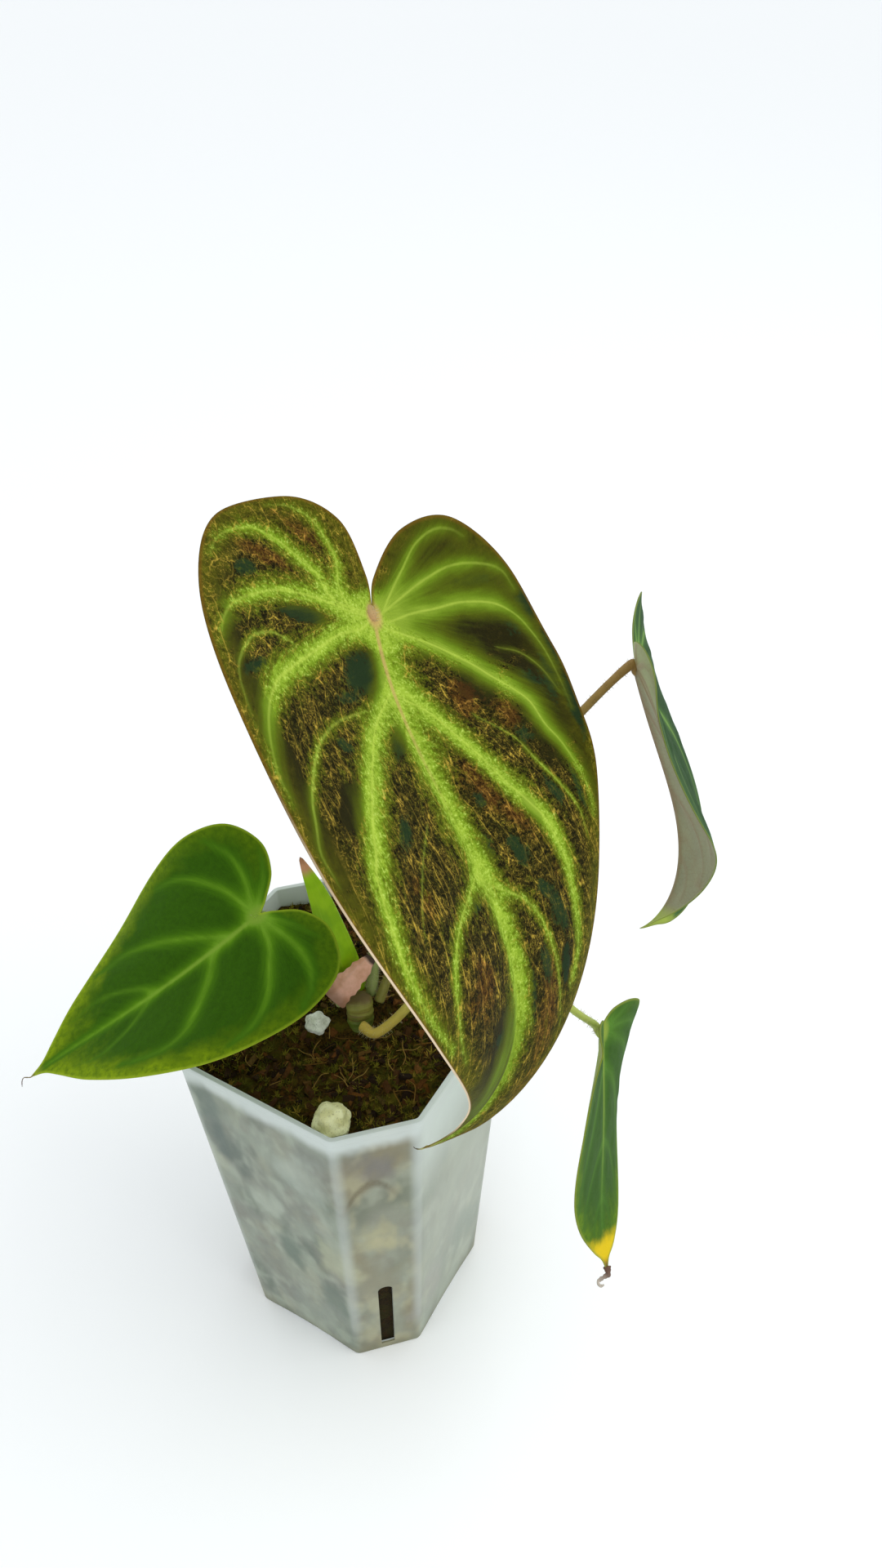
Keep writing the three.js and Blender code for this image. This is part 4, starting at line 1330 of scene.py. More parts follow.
# Each stalk with the blade that it carries
PETIOLES = (
    Petiole(
        "petiole_front", "petiole_green",
        ((6.9, 6.8, 147), (6.1, 9.6, 156), (5.2, 12.8, 170), (5.5, 13.5, 225), (6, 12.5, 262)),
        (1.9, 1.5), BLADES[0], 0.5, FRONT_STEM, 900,
    ),
    Petiole(
        "petiole_left", "petiole_green",
        ((0.9, -1.6, 147), (-2.2, -1.7, 153.5), (-7.2, -6.2, 166), (-13.6, -11, 180)),
        (1.5, 1.2), BLADES[1], 0.5, GREEN_STEM, 300,
    ),
    Petiole(
        "petiole_upper_right", "petiole_brown",
        ((10.5, 5.3, 147), (11.4, 13.6, 157), (15, 25, 172), (27, 47, 200), (41.5, 69, 225.5)),
        (1.6, 1.3), BLADES[2], 0.4, BROWN_STEM, 800,
    ),
    Petiole(
        "petiole_lower_right", "petiole_tan",
        ((10.6, -4.6, 145.6), (15.6, -4.9, 145.6), (19.6, 0, 149), (27, 7, 160), (40, 12, 170),
         (57, 17, 171.5), (70.5, 19.6, 162.5)),
        (1.7, 1.1), BLADES[3], 0.85, TAN_STEM, 500,
    ),
)


@dataclass
class Crown:
    """The short stem in the mix, with the upright new sheath and the dry old one, in millimetres."""

    stem_line: Line = ((8, -4, 118), (8, -2.5, 135), (6.8, 0, 146), (5.8, 1.2, 151.5))
    stem_radius: float = 4.2
    new_line: Line = (
        (2.6, 4.4, 147.5), (-0.6, 5, 156), (-5.4, 5.8, 169), (-10.4, 7, 181.5), (-16.4, 7.9, 193.6),
    )
    new_wide: Point = (0.55, 0.8, 0.2)
    new_half: Point = (4.2, 1.45)
    old_line: Line = (
        (0.6, -4.9, 152.2), (2.8, -2.5, 156), (4.6, 0.3, 158.8), (6, 3.9, 160.9), (7, 7.9, 162.7),
    )
    old_wide: Point = (0.85, 0, -0.53)
    old_half: Point = (3.9, 0.42)

    def build(self) -> None:
        """Builds the three pieces."""
        self._build_stem()
        self._build_new_sheath()
        self._build_old_sheath()

    def _build_stem(self) -> None:
        """Builds the stem with rings where old leaves stood."""

        def section(share: Array, angle: Array) -> Pair:
            """Gives a ringed, uneven round section with a domed top."""
            rings = 1 + 0.06 * np.cos(share * 42 + 0.5 * np.sin(angle)) ** 8
            rings = rings + 0.05 * np.sin(3 * angle + 5 * share)
            rings = rings - 0.05 * np.cos(7 * angle) * smoothstep(share, 0.8, 1)
            radius = self.stem_radius * 0.96 * rings * np.maximum(domed((share - 0.94) / 0.06), 0.03)
            return round_section(radius, angle)

        mesh = tube_mesh("stem", self.stem_line, section, 40, 90)
        paint = Paint("crown")
        share = paint.measure("share")
        mottle = paint.clouds(paint.object_place(), 260.0, 4.0)
        rings = paint.clouds(paint.map_place("wrap", (1.2, 1.6)), 1.0, 3.0)
        colour = paint.layers(
            "5f721c",
            ((share + mottle.sway(0.2)).rise(0.72, 0.9), "868436"),
            (share.fall(0.35, 0.65), "4c4219"),
            (rings.lively().rise(0.5, 0.85) * 0.75, "5f431c"),
            ((share + mottle.sway(0.1)).rise(0.93, 0.985) * 0.85, "5c4424"),
        )
        colour = paint.toned(colour, 0.65 + mottle * 0.45 + rings * 0.25)
        paint.bump(mottle * 0.6 + rings * 0.4, 0.0006, 0.6)
        place_piece(mesh, (paint.surface(colour, 0.5 + mottle * 0.15),), "crown", "crown")

    def _build_new_sheath(self) -> None:
        """Builds the lime sheath: flat, keeled, folded shut, with a dried point."""

        def section(share: Array, angle: Array) -> Pair:
            """Gives a flat section with a keel on one side and a seam on the other."""
            size = 0.72 + 0.4 * np.sin(math.pi * np.sqrt(share)) - 0.62 * share**4
            size = size * np.where(share > 0.985, 1 - (share - 0.985) / 0.015 * 0.75, 1)
            keel = 0.22 * bell(angle - 1.5 * math.pi, 0.35)
            seam = 0.3 * bell(angle - 0.5 * math.pi, 0.2)
            wide, deep = self.new_half
            return wide * size * np.cos(angle), deep * size * np.sin(angle) * (1 + keel - seam)

        mesh = tube_mesh("fresh_sheath", self.new_line, section, 48, 160, self.new_wide)
        paint = Paint("sheath_new")
        lines = paint.clouds(paint.map_place("wrap", (26.0, 0.03)), 1.0, 2.0)
        soft = paint.clouds(paint.object_place(), 120.0, 3.0)
        dried = paint.measure("share") + soft.sway(0.12)
        colour = paint.layers(
            "86b408",
            (soft.rise(0.35, 0.7), "a2cc14"),
            (lines.rise(0.5, 0.75) * 0.35, "b4d040"),
            (dried.rise(0.86, 0.93), "c98f6a"),
            (dried.rise(0.95, 1.0), "8a5a3c"),
        )
        paint.bump(lines, 0.0003, 0.4)
        material = paint.surface(colour, 0.4 + soft * 0.12, Specular_IOR_Level=0.2)
        place_piece(mesh, (material,), "new_sheath", "sheath_new")

    def _build_old_sheath(self) -> None:
        """Builds the dry sheath: a thin papery trough with a ragged dark end."""

        def section(share: Array, angle: Array) -> Pair:
            """Gives a thin curved section that narrows and frays towards its end."""
            size = (1 - 0.6 * share**3) * (1 + 0.06 * np.sin(19 * share) + 0.05 * np.sin(41 * share + angle))
            across = np.cos(angle)
            trough = 1.1 * (across**2 - 0.5) * np.sin(math.pi * np.clip(share * 0.9 + 0.08, 0, 1))
            wide, deep = self.old_half
            return wide * size * across, deep * np.sin(angle) + trough * 0.7

        mesh = tube_mesh("dry_sheath", self.old_line, section, 40, 90, self.old_wide)
        paint = Paint("sheath_old")
        share = paint.measure("share")
        lines = paint.clouds(paint.map_place("wrap", (18.0, 0.06)), 1.0, 3.0)
        soft = paint.clouds(paint.object_place(), 180.0, 3.0)
        colour = paint.layers(
            "cb9070",
            (soft.rise(0.3, 0.7), "f2baa6"),
            (lines.rise(0.5, 0.8) * 0.45, "d8b3a8"),
            (share.fall(0.05, 0.3) * 0.6, "6f4f38"),
            ((share + soft.sway(0.2)).rise(0.88, 0.98), "3a2416"),
        )
        paint.bump(lines + soft * 0.5, 0.0005, 0.7)
        place_piece(mesh, (paint.surface(colour, 0.6),), "old_sheath", "sheath_old")


@dataclass(frozen=True)
class DriedTip:
    """The thin dried end that curls on from a blade's point, with its radii and colours at both ends."""

    name: str
    slot: str
    line: Line
    radii: Point
    foot: str
    end: str

    def build(self) -> None:
        """Builds the end as a flat, crinkled and tapering strip."""

        def section(share: Array, angle: Array) -> Pair:
            """Gives a flat section that narrows with crinkles."""
            size = self.radii[0] + (self.radii[1] - self.radii[0]) * share
            size = size * (1 + 0.16 * np.sin(23 * share + 2 * angle) + 0.1 * np.sin(51 * share))
            return size * np.cos(angle), 0.45 * size * np.sin(angle)

        mesh = tube_mesh(self.name, self.line, section, 12, 60)
        paint = Paint(self.name)
        patches = paint.clouds(paint.object_place(PER_METRE), 1.2, 3.0).lively()
        colour = paint.mix(paint.measure("share").rise(0.1, 0.9), self.foot, self.end)
        paint.bump(patches, 0.0002, 0.6)
        place_piece(mesh, (paint.surface(paint.toned(colour, 0.7 + patches * 0.5), 0.6),), self.slot)


DRIED_TIPS = (
    DriedTip(
        "front_end", "blade_velvet",
        ((64, -53.2, 187.1), (63, -54.5, 186.8), (62, -55.2, 187), (61.5, -55.6, 187.9)),
        (0.3, 0.12), "b8bc7a", "4a3020",
    ),
    DriedTip(
        "left_end", "blade_green",
        ((-57, -71.2, 154.2), (-57.9, -72.3, 153.4), (-59.5, -73.2, 153.2), (-59.9, -73.9, 152.2),
         (-59.4, -74.8, 150.9)),
        (0.4, 0.12), "7a6a2a", "4a2c1c",
    ),
    DriedTip(
        "lower_end", "blade_mid",
        ((100.2, -13.7, 100), (101.25, -14.95, 98.8), (100.8, -15.8, 98.2), (99.9, -17, 97.6),
         (99.5, -17.9, 96.8), (100.4, -18.2, 96.1), (101.3, -17.4, 96.2)),
        (1.1, 0.3), "5a3a26", "b9b0a2",
    ),
)


# Potting mix


class Crumb(Enum):
    """What lies loose on the mix."""

    BARK = "bark"
    MOSS = "moss"
    FIBRE = "fibre"


CRUMB_TONES = {
    Crumb.BARK: ((0.0, "1c1208"), (0.4, "38240e"), (0.7, "523312"), (0.88, "6e4419"), (1.0, "54461f")),
    Crumb.MOSS: ((0.0, "33300a"), (0.5, "555310"), (0.8, "7a7420"), (1.0, "967a30")),
    Crumb.FIBRE: ((0.0, "442e12"), (0.6, "7a5a22"), (1.0, "9a7f40")),
}


@dataclass(frozen=True)
class PotForm:
    """The pot's outer form, in millimetres, which the mix follows from inside."""

    height: float = 150.0
    foot_half: float = 37.0
    rim_half: float = 45.0
    foot_bevel: float = 16.0
    rim_bevel: float = 18.0

    def section(self, share: Array, inset: float) -> Pair:
        """Gives the square section with its bevelled corners.

        Args:
            share: how high up it is, as a share of the pot's height.
            inset: how far it is inside the outer wall.

        Returns:
            Its half width and its corner bevel.
        """
        half = self.foot_half + (self.rim_half - self.foot_half) * share - inset
        bevel = self.foot_bevel + (self.rim_bevel - self.foot_bevel) * share - inset * BEVEL_LOSS
        return half, bevel


POT_FORM = PotForm()


@dataclass
class PottingMix:
    """Bark, moss, fibre and pumice that fill the pot, in millimetres.

    The body is a sheet of squares whose outer part, the skirt, hangs down as its sides.
    """

    level: float = 142.6
    relief: float = 1.1
    floor: float = 2.9
    inset: float = 1.4
    grains: Line = (
        (21.3, -36.6, 144.4, 5.7), (-2.6, -9.6, 144.2, 3.7), (-29, 12, 143.6, 4.1), (17, 33, 143.4, 3.6),
        (33, 14, 143.2, 3.1),
    )
    bark_count: int = 520
    moss_count: int = 1500
    fibre_count: int = 220
    squares: int = 132
    skirt: float = 0.15

    def height(self, x: Array, y: Array) -> Array:
        """Gives the rolling top's height."""
        rolls = np.sin(x / 5.1 + 0.7) * np.cos(y / 6.3) + 0.6 * np.sin(x / 2.9 - y / 3.7)
        return self.level + self.relief * rolls

    def build(self, rng: random.Random) -> None:
        """Builds the body, what lies on it, and the pumice.

        Args:
            rng: the source of the crumbs' shapes and places.
        """
        self._build_body()
        self._scatter(Crumb.BARK, self.bark_count, self._bark_templates(rng), rng)
        self._scatter(Crumb.MOSS, self.moss_count, self._moss_templates(rng), rng)
        self._scatter(Crumb.FIBRE, self.fibre_count, self._fibre_templates(rng), rng)
        for number, grain in enumerate(self.grains, 1):
            self._build_grain(number, grain)

    def _build_body(self) -> None:
        """Builds the body: a crumbly top on straight sides that follow the pot."""
        mesh, first, second = grid_mesh("mix_body", self.squares, self.squares)
        full = 1 + self.skirt
        x, y = 2 * full * first - full, 2 * full * second - full
        hang = np.clip((np.maximum(np.abs(x), np.abs(y)) - 1) / self.skirt, 0, 1)
        x, y = np.clip(x, -1, 1), np.clip(y, -1, 1)
        depth = hang * (self.level - self.floor)
        half, bevel = POT_FORM.section((self.level - depth) / POT_FORM.height, self.inset)
        x, y = x * half, y * half
        widest = np.maximum(np.abs(x), np.abs(y))
        squeeze = np.minimum(1, (2 * half - bevel) / half * widest / np.maximum(np.abs(x) + np.abs(y), 1e-6))
        x, y = x * squeeze, y * squeeze
        places = [Vector((a * 0.45, b * 0.45, 1.7)) for a, b in zip(x, y)]
        crumb = np.array([noise.fractal(place, 0.8, 2.2, 4) for place in places])
        calm = 1 - smoothstep(np.hypot(x - CROWN_SPOT[0], y - CROWN_SPOT[1]), 4.0, 7.0)
        top = self.height(x, y) + 0.9 * np.clip(crumb, -1.2, 1.2) * (1 - calm) - calm * 0.3
        set_points(mesh, np.stack([x, y, np.where(hang > 0, self.level - depth, top)], -1))
        close_mesh(mesh, cap=True)
        place_piece(mesh, (self._ground_material(),), "mix", "potting_mix")

    def _ground_material(self) -> Material:
        """Builds the dark ground with mossy and reddish patches, and painted shade that darkens it further
        down, where it shows through the slits.
        """
        paint = Paint("potting_mix")
        place = paint.object_place(PER_METRE)
        fine, coarse = paint.clouds(place, 1.1, 5.0, 0.7), paint.clouds(place, 0.16, 3.0)
        red = paint.clouds(paint.shifted(place, paint.drift(place, 0.2), 5.0), 0.3, 2.0)
        colour = paint.layers(
            "1d1406",
            (fine.rise(0.35, 0.65), "563f14"),
            (coarse.rise(0.46, 0.64) * 0.7, "575412"),
            (red.rise(0.58, 0.72) * 0.7, "6f4216"),
            (paint.cells(place, 0.9).fall(0.1, 0.3) * 0.4, "6a5522"),
            # Painted shade: the mix is painted darker further down inside the pot, where it shows through the
            # slits.
            (paint.parts(place)[2].fall(40.0, 70.0) * 0.8, "1b1508"),
        )
        paint.bump(fine + coarse * 0.5, 0.0012, 0.8)
        return paint.surface(colour, 0.85 + fine * 0.12, Specular_IOR_Level=0.1)

    def _bark_templates(self, rng: random.Random) -> list[Mesh]:
        """Makes a few unlike splintered bark chips."""
        found = []
        for k in range(7):
            chip = bmesh.new()
            bmesh.ops.create_cube(chip, size=1.0)
            bmesh.ops.subdivide_edges(chip, edges=chip.edges[:], cuts=1, use_grid_fill=True)
            for point in chip.verts:
                point.co *= 1 + rng.uniform(-0.22, 0.16)
                point.co.x += rng.uniform(-0.09, 0.09)
                point.co.z += 0.16 * math.sin(3 * point.co.x + k)
            found.append(self._template(chip, f"bark_{k}"))
        return found

    def _moss_templates(self, rng: random.Random) -> list[Mesh]:
        """Makes a few unlike sprigs of narrow moss leaves."""
        found = []
        leaf = {"cap_ends": True, "segments": 3, "radius1": 0.16, "radius2": 0.02, "depth": 1.0}
        for k in range(5):
            sprig = bmesh.new()
            for i in range(7):
                made = bmesh.ops.create_cone(sprig, **leaf)
                turn = Matrix.Rotation(i * 0.9 + k, 4, "Z") @ Matrix.Rotation(rng.uniform(0.35, 1.25), 4, "X")
                stretch = Matrix.Diagonal((1.0, 0.35, rng.uniform(0.6, 1.1), 1.0))
                place = turn @ stretch @ Matrix.Translation((0, 0, 0.45))
                bmesh.ops.transform(sprig, matrix=place, verts=made["verts"])
            found.append(self._template(sprig, f"moss_{k}"))
        return found

    def _fibre_templates(self, rng: random.Random) -> list[Mesh]:
        """Makes a few unlike curved fibres."""

        def section(share: Array, angle: Array) -> Pair:
            """Gives a thin round section."""
            return round_section(np.full(len(share), 18.0), angle)

        found = []
        for k in range(5):
            bends = [(rng.uniform(-0.2, 0.2), rng.uniform(-0.1, 0.1), height) for height in (-0.2, 0.15)]
            line = PER_METRE * np.array([(0, 0, -0.5), *bends, (0.05, 0, 0.5)])
            found.append(tube_mesh(f"fibre_{k}", line, section, 4, 9))
        return found

    def _template(self, made: BMesh, name: str) -> Mesh:
        """Turns a small bmesh into a mesh with its faces outwards."""
        bmesh.ops.recalc_face_normals(made, faces=made.faces)
        return to_mesh(made, name)

    def _inside(self, rng: random.Random, clear: float) -> tuple[float, float]:
        """Picks a spot on the mix, clear of the wall, the crown and the pumice."""
        half, bevel = POT_FORM.section(self.level / POT_FORM.height, self.inset)
        while True:
            x, y = rng.uniform(-41, 41), rng.uniform(-41, 41)
            fits = max(abs(x), abs(y)) < half - clear and abs(x) + abs(y) < 2 * half - bevel - clear * 1.4
            off_crown = math.hypot(x - CROWN_SPOT[0], y - CROWN_SPOT[1]) > 6.0 + clear
            off_grains = all(math.hypot(x - g[0], y - g[1]) > g[3] + clear * 0.6 for g in self.grains)
            if fits and off_crown and off_grains:
                return x, y

    def _scatter(self, kind: Crumb, count: int, templates: list[Mesh], rng: random.Random) -> None:
        """Scatters one kind of crumb over the mix as one piece."""
        heap = bmesh.new()
        tone = heap.verts.layers.float.new("tone")
        for _ in range(count):
            x, y = self._inside(rng, 2.6 if kind is Crumb.BARK else 1.4)
            z = float(self.height(np.array([x]), np.array([y]))[0])
            tint = rng.random()
            if kind is Crumb.BARK:
                size = (rng.uniform(1.2, 4.8), rng.uniform(0.8, 2.2), rng.uniform(0.5, 1.4))
                lean = Vector((rng.uniform(-1.1, 1.1), rng.uniform(-1.1, 1.1), 1.0))
                z += rng.uniform(-0.3, 0.8)
            elif kind is Crumb.MOSS:
                size = (rng.uniform(1.2, 2.7),) * 3
                lean = Vector((rng.uniform(-0.5, 0.5), rng.uniform(-0.5, 0.5), 1.0))
                z += 0.2
            else:
                size = (rng.uniform(4.0, 9.0),) * 3
                lean = Vector((rng.uniform(-1, 1), rng.uniform(-1, 1), rng.uniform(-0.12, 0.12)))
                x, y = x * 0.85, y * 0.85
                z += 1.1
            size = tuple(s * MM for s in size)
            place = looking_along(Vector((x, y, z)) * MM, lean, rng.uniform(0, 6.28), size)
            for point in add_copy(heap, rng.choice(templates), place):
                point[tone] = tint
        mesh = to_mesh(heap, f"mix_{kind.value}")
        for template in templates:
            bpy.data.meshes.remove(template)
        place_piece(mesh, (self._crumb_material(kind),), "mix")

    def _crumb_material(self, kind: Crumb) -> Material:
        """Builds a crumb material whose tone changes from crumb to crumb."""
        paint = Paint(f"mix_{kind.value}")
        fine = paint.clouds(paint.object_place(PER_METRE), 1.6, 4.0)
        ramp = paint.add("ShaderNodeValToRGB", {"stops": CRUMB_TONES[kind]}, {0: paint.measure("tone")})
        paint.bump(fine, 0.0005, 0.7)
        colour = paint.toned(ramp.outputs["Color"], 0.5 + fine * 0.9)
        return paint.surface(colour, 0.8 + fine * 0.15, Specular_IOR_Level=0.15)

    def _build_grain(self, number: int, grain: Point) -> None:
        """Builds a pitted pumice grain."""
        x, y, z, radius = grain
        stone = bmesh.new()
        bmesh.ops.create_icosphere(stone, subdivisions=6, radius=1.0)
        for point in stone.verts:
            spot = point.co.copy()
            bump = 1 + 0.12 * math.sin(5.3 * spot.x + x) * math.cos(4.1 * spot.y + y)
            bump = bump + 0.06 * math.sin(9 * spot.z)
            rough = noise.fractal(spot * 3.1 + Vector((x, y, z)), 0.7, 2.0, 4)
            cell = noise.voronoi(spot * 4.2 + Vector((y, x, z)))[0][0]
            pit = max(0.0, 0.32 - cell) * 0.28
            size = radius * (bump - 0.04 + 0.035 * rough - pit)
            point.co = Vector((spot.x * size + x, spot.y * size + y, 0.86 * spot.z * size + z)) * MM
        for face in stone.faces:
            face.smooth = True
        mesh = to_mesh(stone, f"grain_{number}")
        paint = Paint(f"pumice_{number}")
        place = paint.object_place(PER_METRE)
        fine, soft = paint.clouds(place, 1.9, 4.0, 0.7), paint.clouds(place, 0.3, 2.0)
        light, dark = ("ffffcc", "e4e2a4") if number == 1 else ("fbfff2", "d4d9c6")
        colour = paint.layers(dark, (soft.rise(0.35, 0.65), light), (fine.fall(0.3, 0.45) * 0.6, "6f6a48"))
        paint.bump(fine, 0.0005, 0.8)
        place_piece(mesh, (paint.surface(colour, 0.9),), "pumice", f"pumice_{number}")


# Pot


@dataclass(frozen=True)
class Stain:
    """A soft blotch of the damp mix seen through the plastic: its middle, half sizes and colour."""

    spot: Point
    reach: Point
    tint: str
    strength: float = 0.7

    def amount(self, place: Sequence[Value], ragged: Value) -> Value:
        """Gives where it shows, with an outline made uneven by noise."""
        x, y, z = ((part - middle) / reach for part, middle, reach in zip(place, self.spot, self.reach))
        return (x * x + y * y + z * z + ragged * 1.6).fall(0.5, 2.0) * self.strength


POT_STAINS = (
    Stain((-12, -43, 110), (9, 14, 16), "49594f"),
    Stain((-22, -44, 122), (6, 14, 26), "56655e", 0.6),
    Stain((3, -40, 62), (9, 14, 15), "4c6053"),
    Stain((17, -39, 40), (9, 14, 14), "4f6156", 0.65),
    Stain((-6, -42, 86), (9, 14, 12), "a9b3a2"),
    Stain((13, -43, 116), (10, 14, 18), "a5afa2", 0.6),
    Stain((20, -41, 74), (8, 12, 20), "a9ad8f", 0.65),
    Stain((10, -40, 20), (16, 14, 12), "828a7e", 0.6),
    Stain((34, -36, 128), (9, 9, 13), "6d6a66", 0.8),
    Stain((31, -33, 86), (8, 8, 12), "a9a47c", 0.75),
    Stain((30, -31, 50), (9, 9, 12), "84826c", 0.6),
    Stain((39, 8, 34), (12, 13, 16), "5f6f64", 0.75),
    Stain((39, -16, 30), (12, 9, 20), "8b8983", 0.6),
)


@dataclass
class NurseryPot:
    """The square frosted nursery pot: tapering walls, rounded bevelled corners, a lip, slits and drains.

    Attributes are millimetres, as in the solid, apart from the counts of rings and steps.
    """

    form: PotForm = POT_FORM
    wall: float = 1.1
    floor: float = 2.6
    corner_round: float = 3.0
    slit_low: float = 4.0
    slit_high: float = 50.0
    slit_radius: float = 2.5
    slit_middle: float = 42.6
    slit_depth: float = 12.0
    arch: float = 1.4
    arch_half: float = 17.0
    arch_inner: float = 15.0
    arch_top: float = 20.0
    arch_rings: int = 8
    drain_radius: float = 3.2
    drain_offset: float = 24.0
    arc_steps: int = 4
    wall_steps: int = 12
    bevel_steps: int = 6
    round_segments: int = 24
    sharp_angle: float = 28.0

    def profile(self) -> list[tuple[float, float, float]]:
        """Lists the rings from the middle of the underside over the rim to the middle of the floor.

        Returns:
            For each ring its height, how far it is inside the outer wall, and its share of the full width.
        """
        top, wall, floor = self.form.height, self.wall, self.floor
        under = [(0.0, 0.0, 0.1), (0.0, 0.0, 0.38), (0.0, 0.0, 0.42), (0.0, 0.7, 1.0), (0.12, 0.25, 1.0)]
        outer = [(z, 0.0, 1.0) for z in (0.5, 6, 20, 45, 75, 105, 130, 146.6)]
        lip = [(147.1, -0.4), (147.6, -0.5), (149.5, -0.5), (149.85, -0.38), (top, -0.05)]
        rim = [(top, 0.65), (149.85, 0.98), (149.5, wall)]
        inner = [(z, wall) for z in (142, 125, 100, 70, 40, 15, 4.0)]
        base = [(2.95, 1.3, 1.0), (floor, 2.0, 1.0), (floor, 2.0, 0.6), (floor, 2.0, 0.1)]
        return [*under, *outer, *((z, inset, 1.0) for z, inset in (*lip, *rim, *inner)), *base]

    def ring(self, height: float, inset: float) -> Array:
        """Gives the rounded eight-sided section's points.

        Args:
            height: where it is.
            inset: how far inside the outer wall.

        Returns:
            The points, the first repeated at the end.
        """
        half, bevel = self.form.section(height / self.form.height, inset)
        near = half - bevel
        corners = [(half, -near), (half, near), (near, half), (-near, half)]
        corners = [np.array(c) for c in (*corners, *((-x, -y) for x, y in corners))]
        cut = max(self.corner_round - inset, 0.5) * math.tan(math.radians(22.5))
        arcs = []
        for k, corner in enumerate(corners):
            before, after = corners[k - 1], corners[(k + 1) % 8]
            start = corner + (before - corner) / np.linalg.norm(before - corner) * cut
            end = corner + (after - corner) / np.linalg.norm(after - corner) * cut
            t = np.linspace(0, 1, self.arc_steps + 1)[:, None]
            arcs.append(start * (1 - t) ** 2 + corner * 2 * t * (1 - t) + end * t**2)
        points = []
        for k, arc in enumerate(arcs):
            count = self.wall_steps if k % 2 == 0 else self.bevel_steps
            t = np.linspace(0, 1, count + 1)[1:-1, None]
            following = arcs[(k + 1) % 8][0]
            points.append(np.vstack([arc, arc[-1] * (1 - t) + following * t]))
        points = np.vstack(points)
        return np.vstack([points, points[:1]])

    def build(self) -> None:
        """Builds the walls as one wrapped sheet, cuts the openings and dresses the pot."""
        rows = self.profile()
        rings = [self.ring(z, inset) * share for z, inset, share in rows]
        count = len(rings[0]) - 1
        mesh, around, up = grid_mesh("frosted_pot", count, len(rows) - 1)
        column = np.round(around * count).astype(int)
        row = np.round(up * (len(rows) - 1)).astype(int)
        xy = np.array(rings)[row, column]
        height = np.array([z for z, _, _ in rows])[row]
        widest, narrow = np.abs(xy).max(axis=1), np.abs(xy).min(axis=1)
        arch = self.arch * np.clip(1 - (narrow / self.arch_half) ** 2, 0, 1)
        lifted = (row < self.arch_rings) & (widest > self.arch_inner)
        height = height + np.where(lifted, arch * np.clip(1 - height / self.arch_top, 0, 1), 0)
        set_points(mesh, np.column_stack([xy, height]))
        close_mesh(mesh, cap=True)
        self._cut(mesh)
        for edge, angle in self._edge_angles(mesh):
            mesh.edges[edge].use_edge_sharp = angle > math.radians(self.sharp_angle)
        place_piece(mesh, (self._material(),), "pot_plastic", "pot")

    def _edge_angles(self, mesh: Mesh) -> list[tuple[int, float]]:
        """Gives each edge's number and the angle between its faces."""
        shell = bmesh.new()
        shell.from_mesh(mesh)
        found = [(edge.index, edge.calc_face_angle(0.0)) for edge in shell.edges]
        shell.free()
        return found

    def _cut(self, mesh: Mesh) -> None:
        """Cuts the four slits and the four drains out of the pot."""
        tools = bmesh.new()
        for quarter in range(4):
            turn = Matrix.Rotation(math.radians(90 * quarter), 4, "Z")
            self._add_slit(tools, turn @ Matrix.Rotation(math.radians(45), 4, "Z"))
            drain = self._add_rod(tools, self.drain_radius, 3 * self.floor)
            place = turn @ Matrix.Translation((self.drain_offset * MM, 0, 0))
            bmesh.ops.transform(tools, matrix=place, verts=drain)
        cutter_mesh = to_mesh(tools, "cutter")
        cutter, work = link_object("cutter", cutter_mesh), link_object("work", mesh)
        cut = work.modifiers.new("openings", "BOOLEAN")
        cut.operation = "DIFFERENCE"
        cut.solver = "EXACT"
        cut.object = cutter
        shell = bmesh.new()
        shell.from_object(work, bpy.context.evaluated_depsgraph_get())
        shell.to_mesh(mesh)
        shell.free()
        bpy.data.objects.remove(work)
        bpy.data.objects.remove(cutter)
        bpy.data.meshes.remove(cutter_mesh)

    def _add_rod(self, tools: BMesh, radius: float, depth: float) -> list[bmesh.types.BMVert]:
        """Adds an upright round rod, in millimetres, and gives its points."""
        rim = {"radius1": radius * MM, "radius2": radius * MM, "depth": depth * MM}
        return bmesh.ops.create_cone(tools, cap_ends=True, segments=self.round_segments, **rim)["verts"]

    def _add_slit(self, tools: BMesh, turn: Matrix) -> None:
        """Adds the shape of one slit: straight, with a round top."""
        points = self._add_rod(tools, self.slit_radius, self.slit_depth)
        bmesh.ops.rotate(tools, matrix=Matrix.Rotation(math.radians(90), 3, "Y"), verts=points)
        top = (self.slit_high - self.slit_radius) * MM
        for point in points:
            point.co.z = self.slit_low * MM if point.co.z < -1e-6 else point.co.z + top
            point.co.x += self.slit_middle * MM
        bmesh.ops.transform(tools, matrix=turn, verts=points)

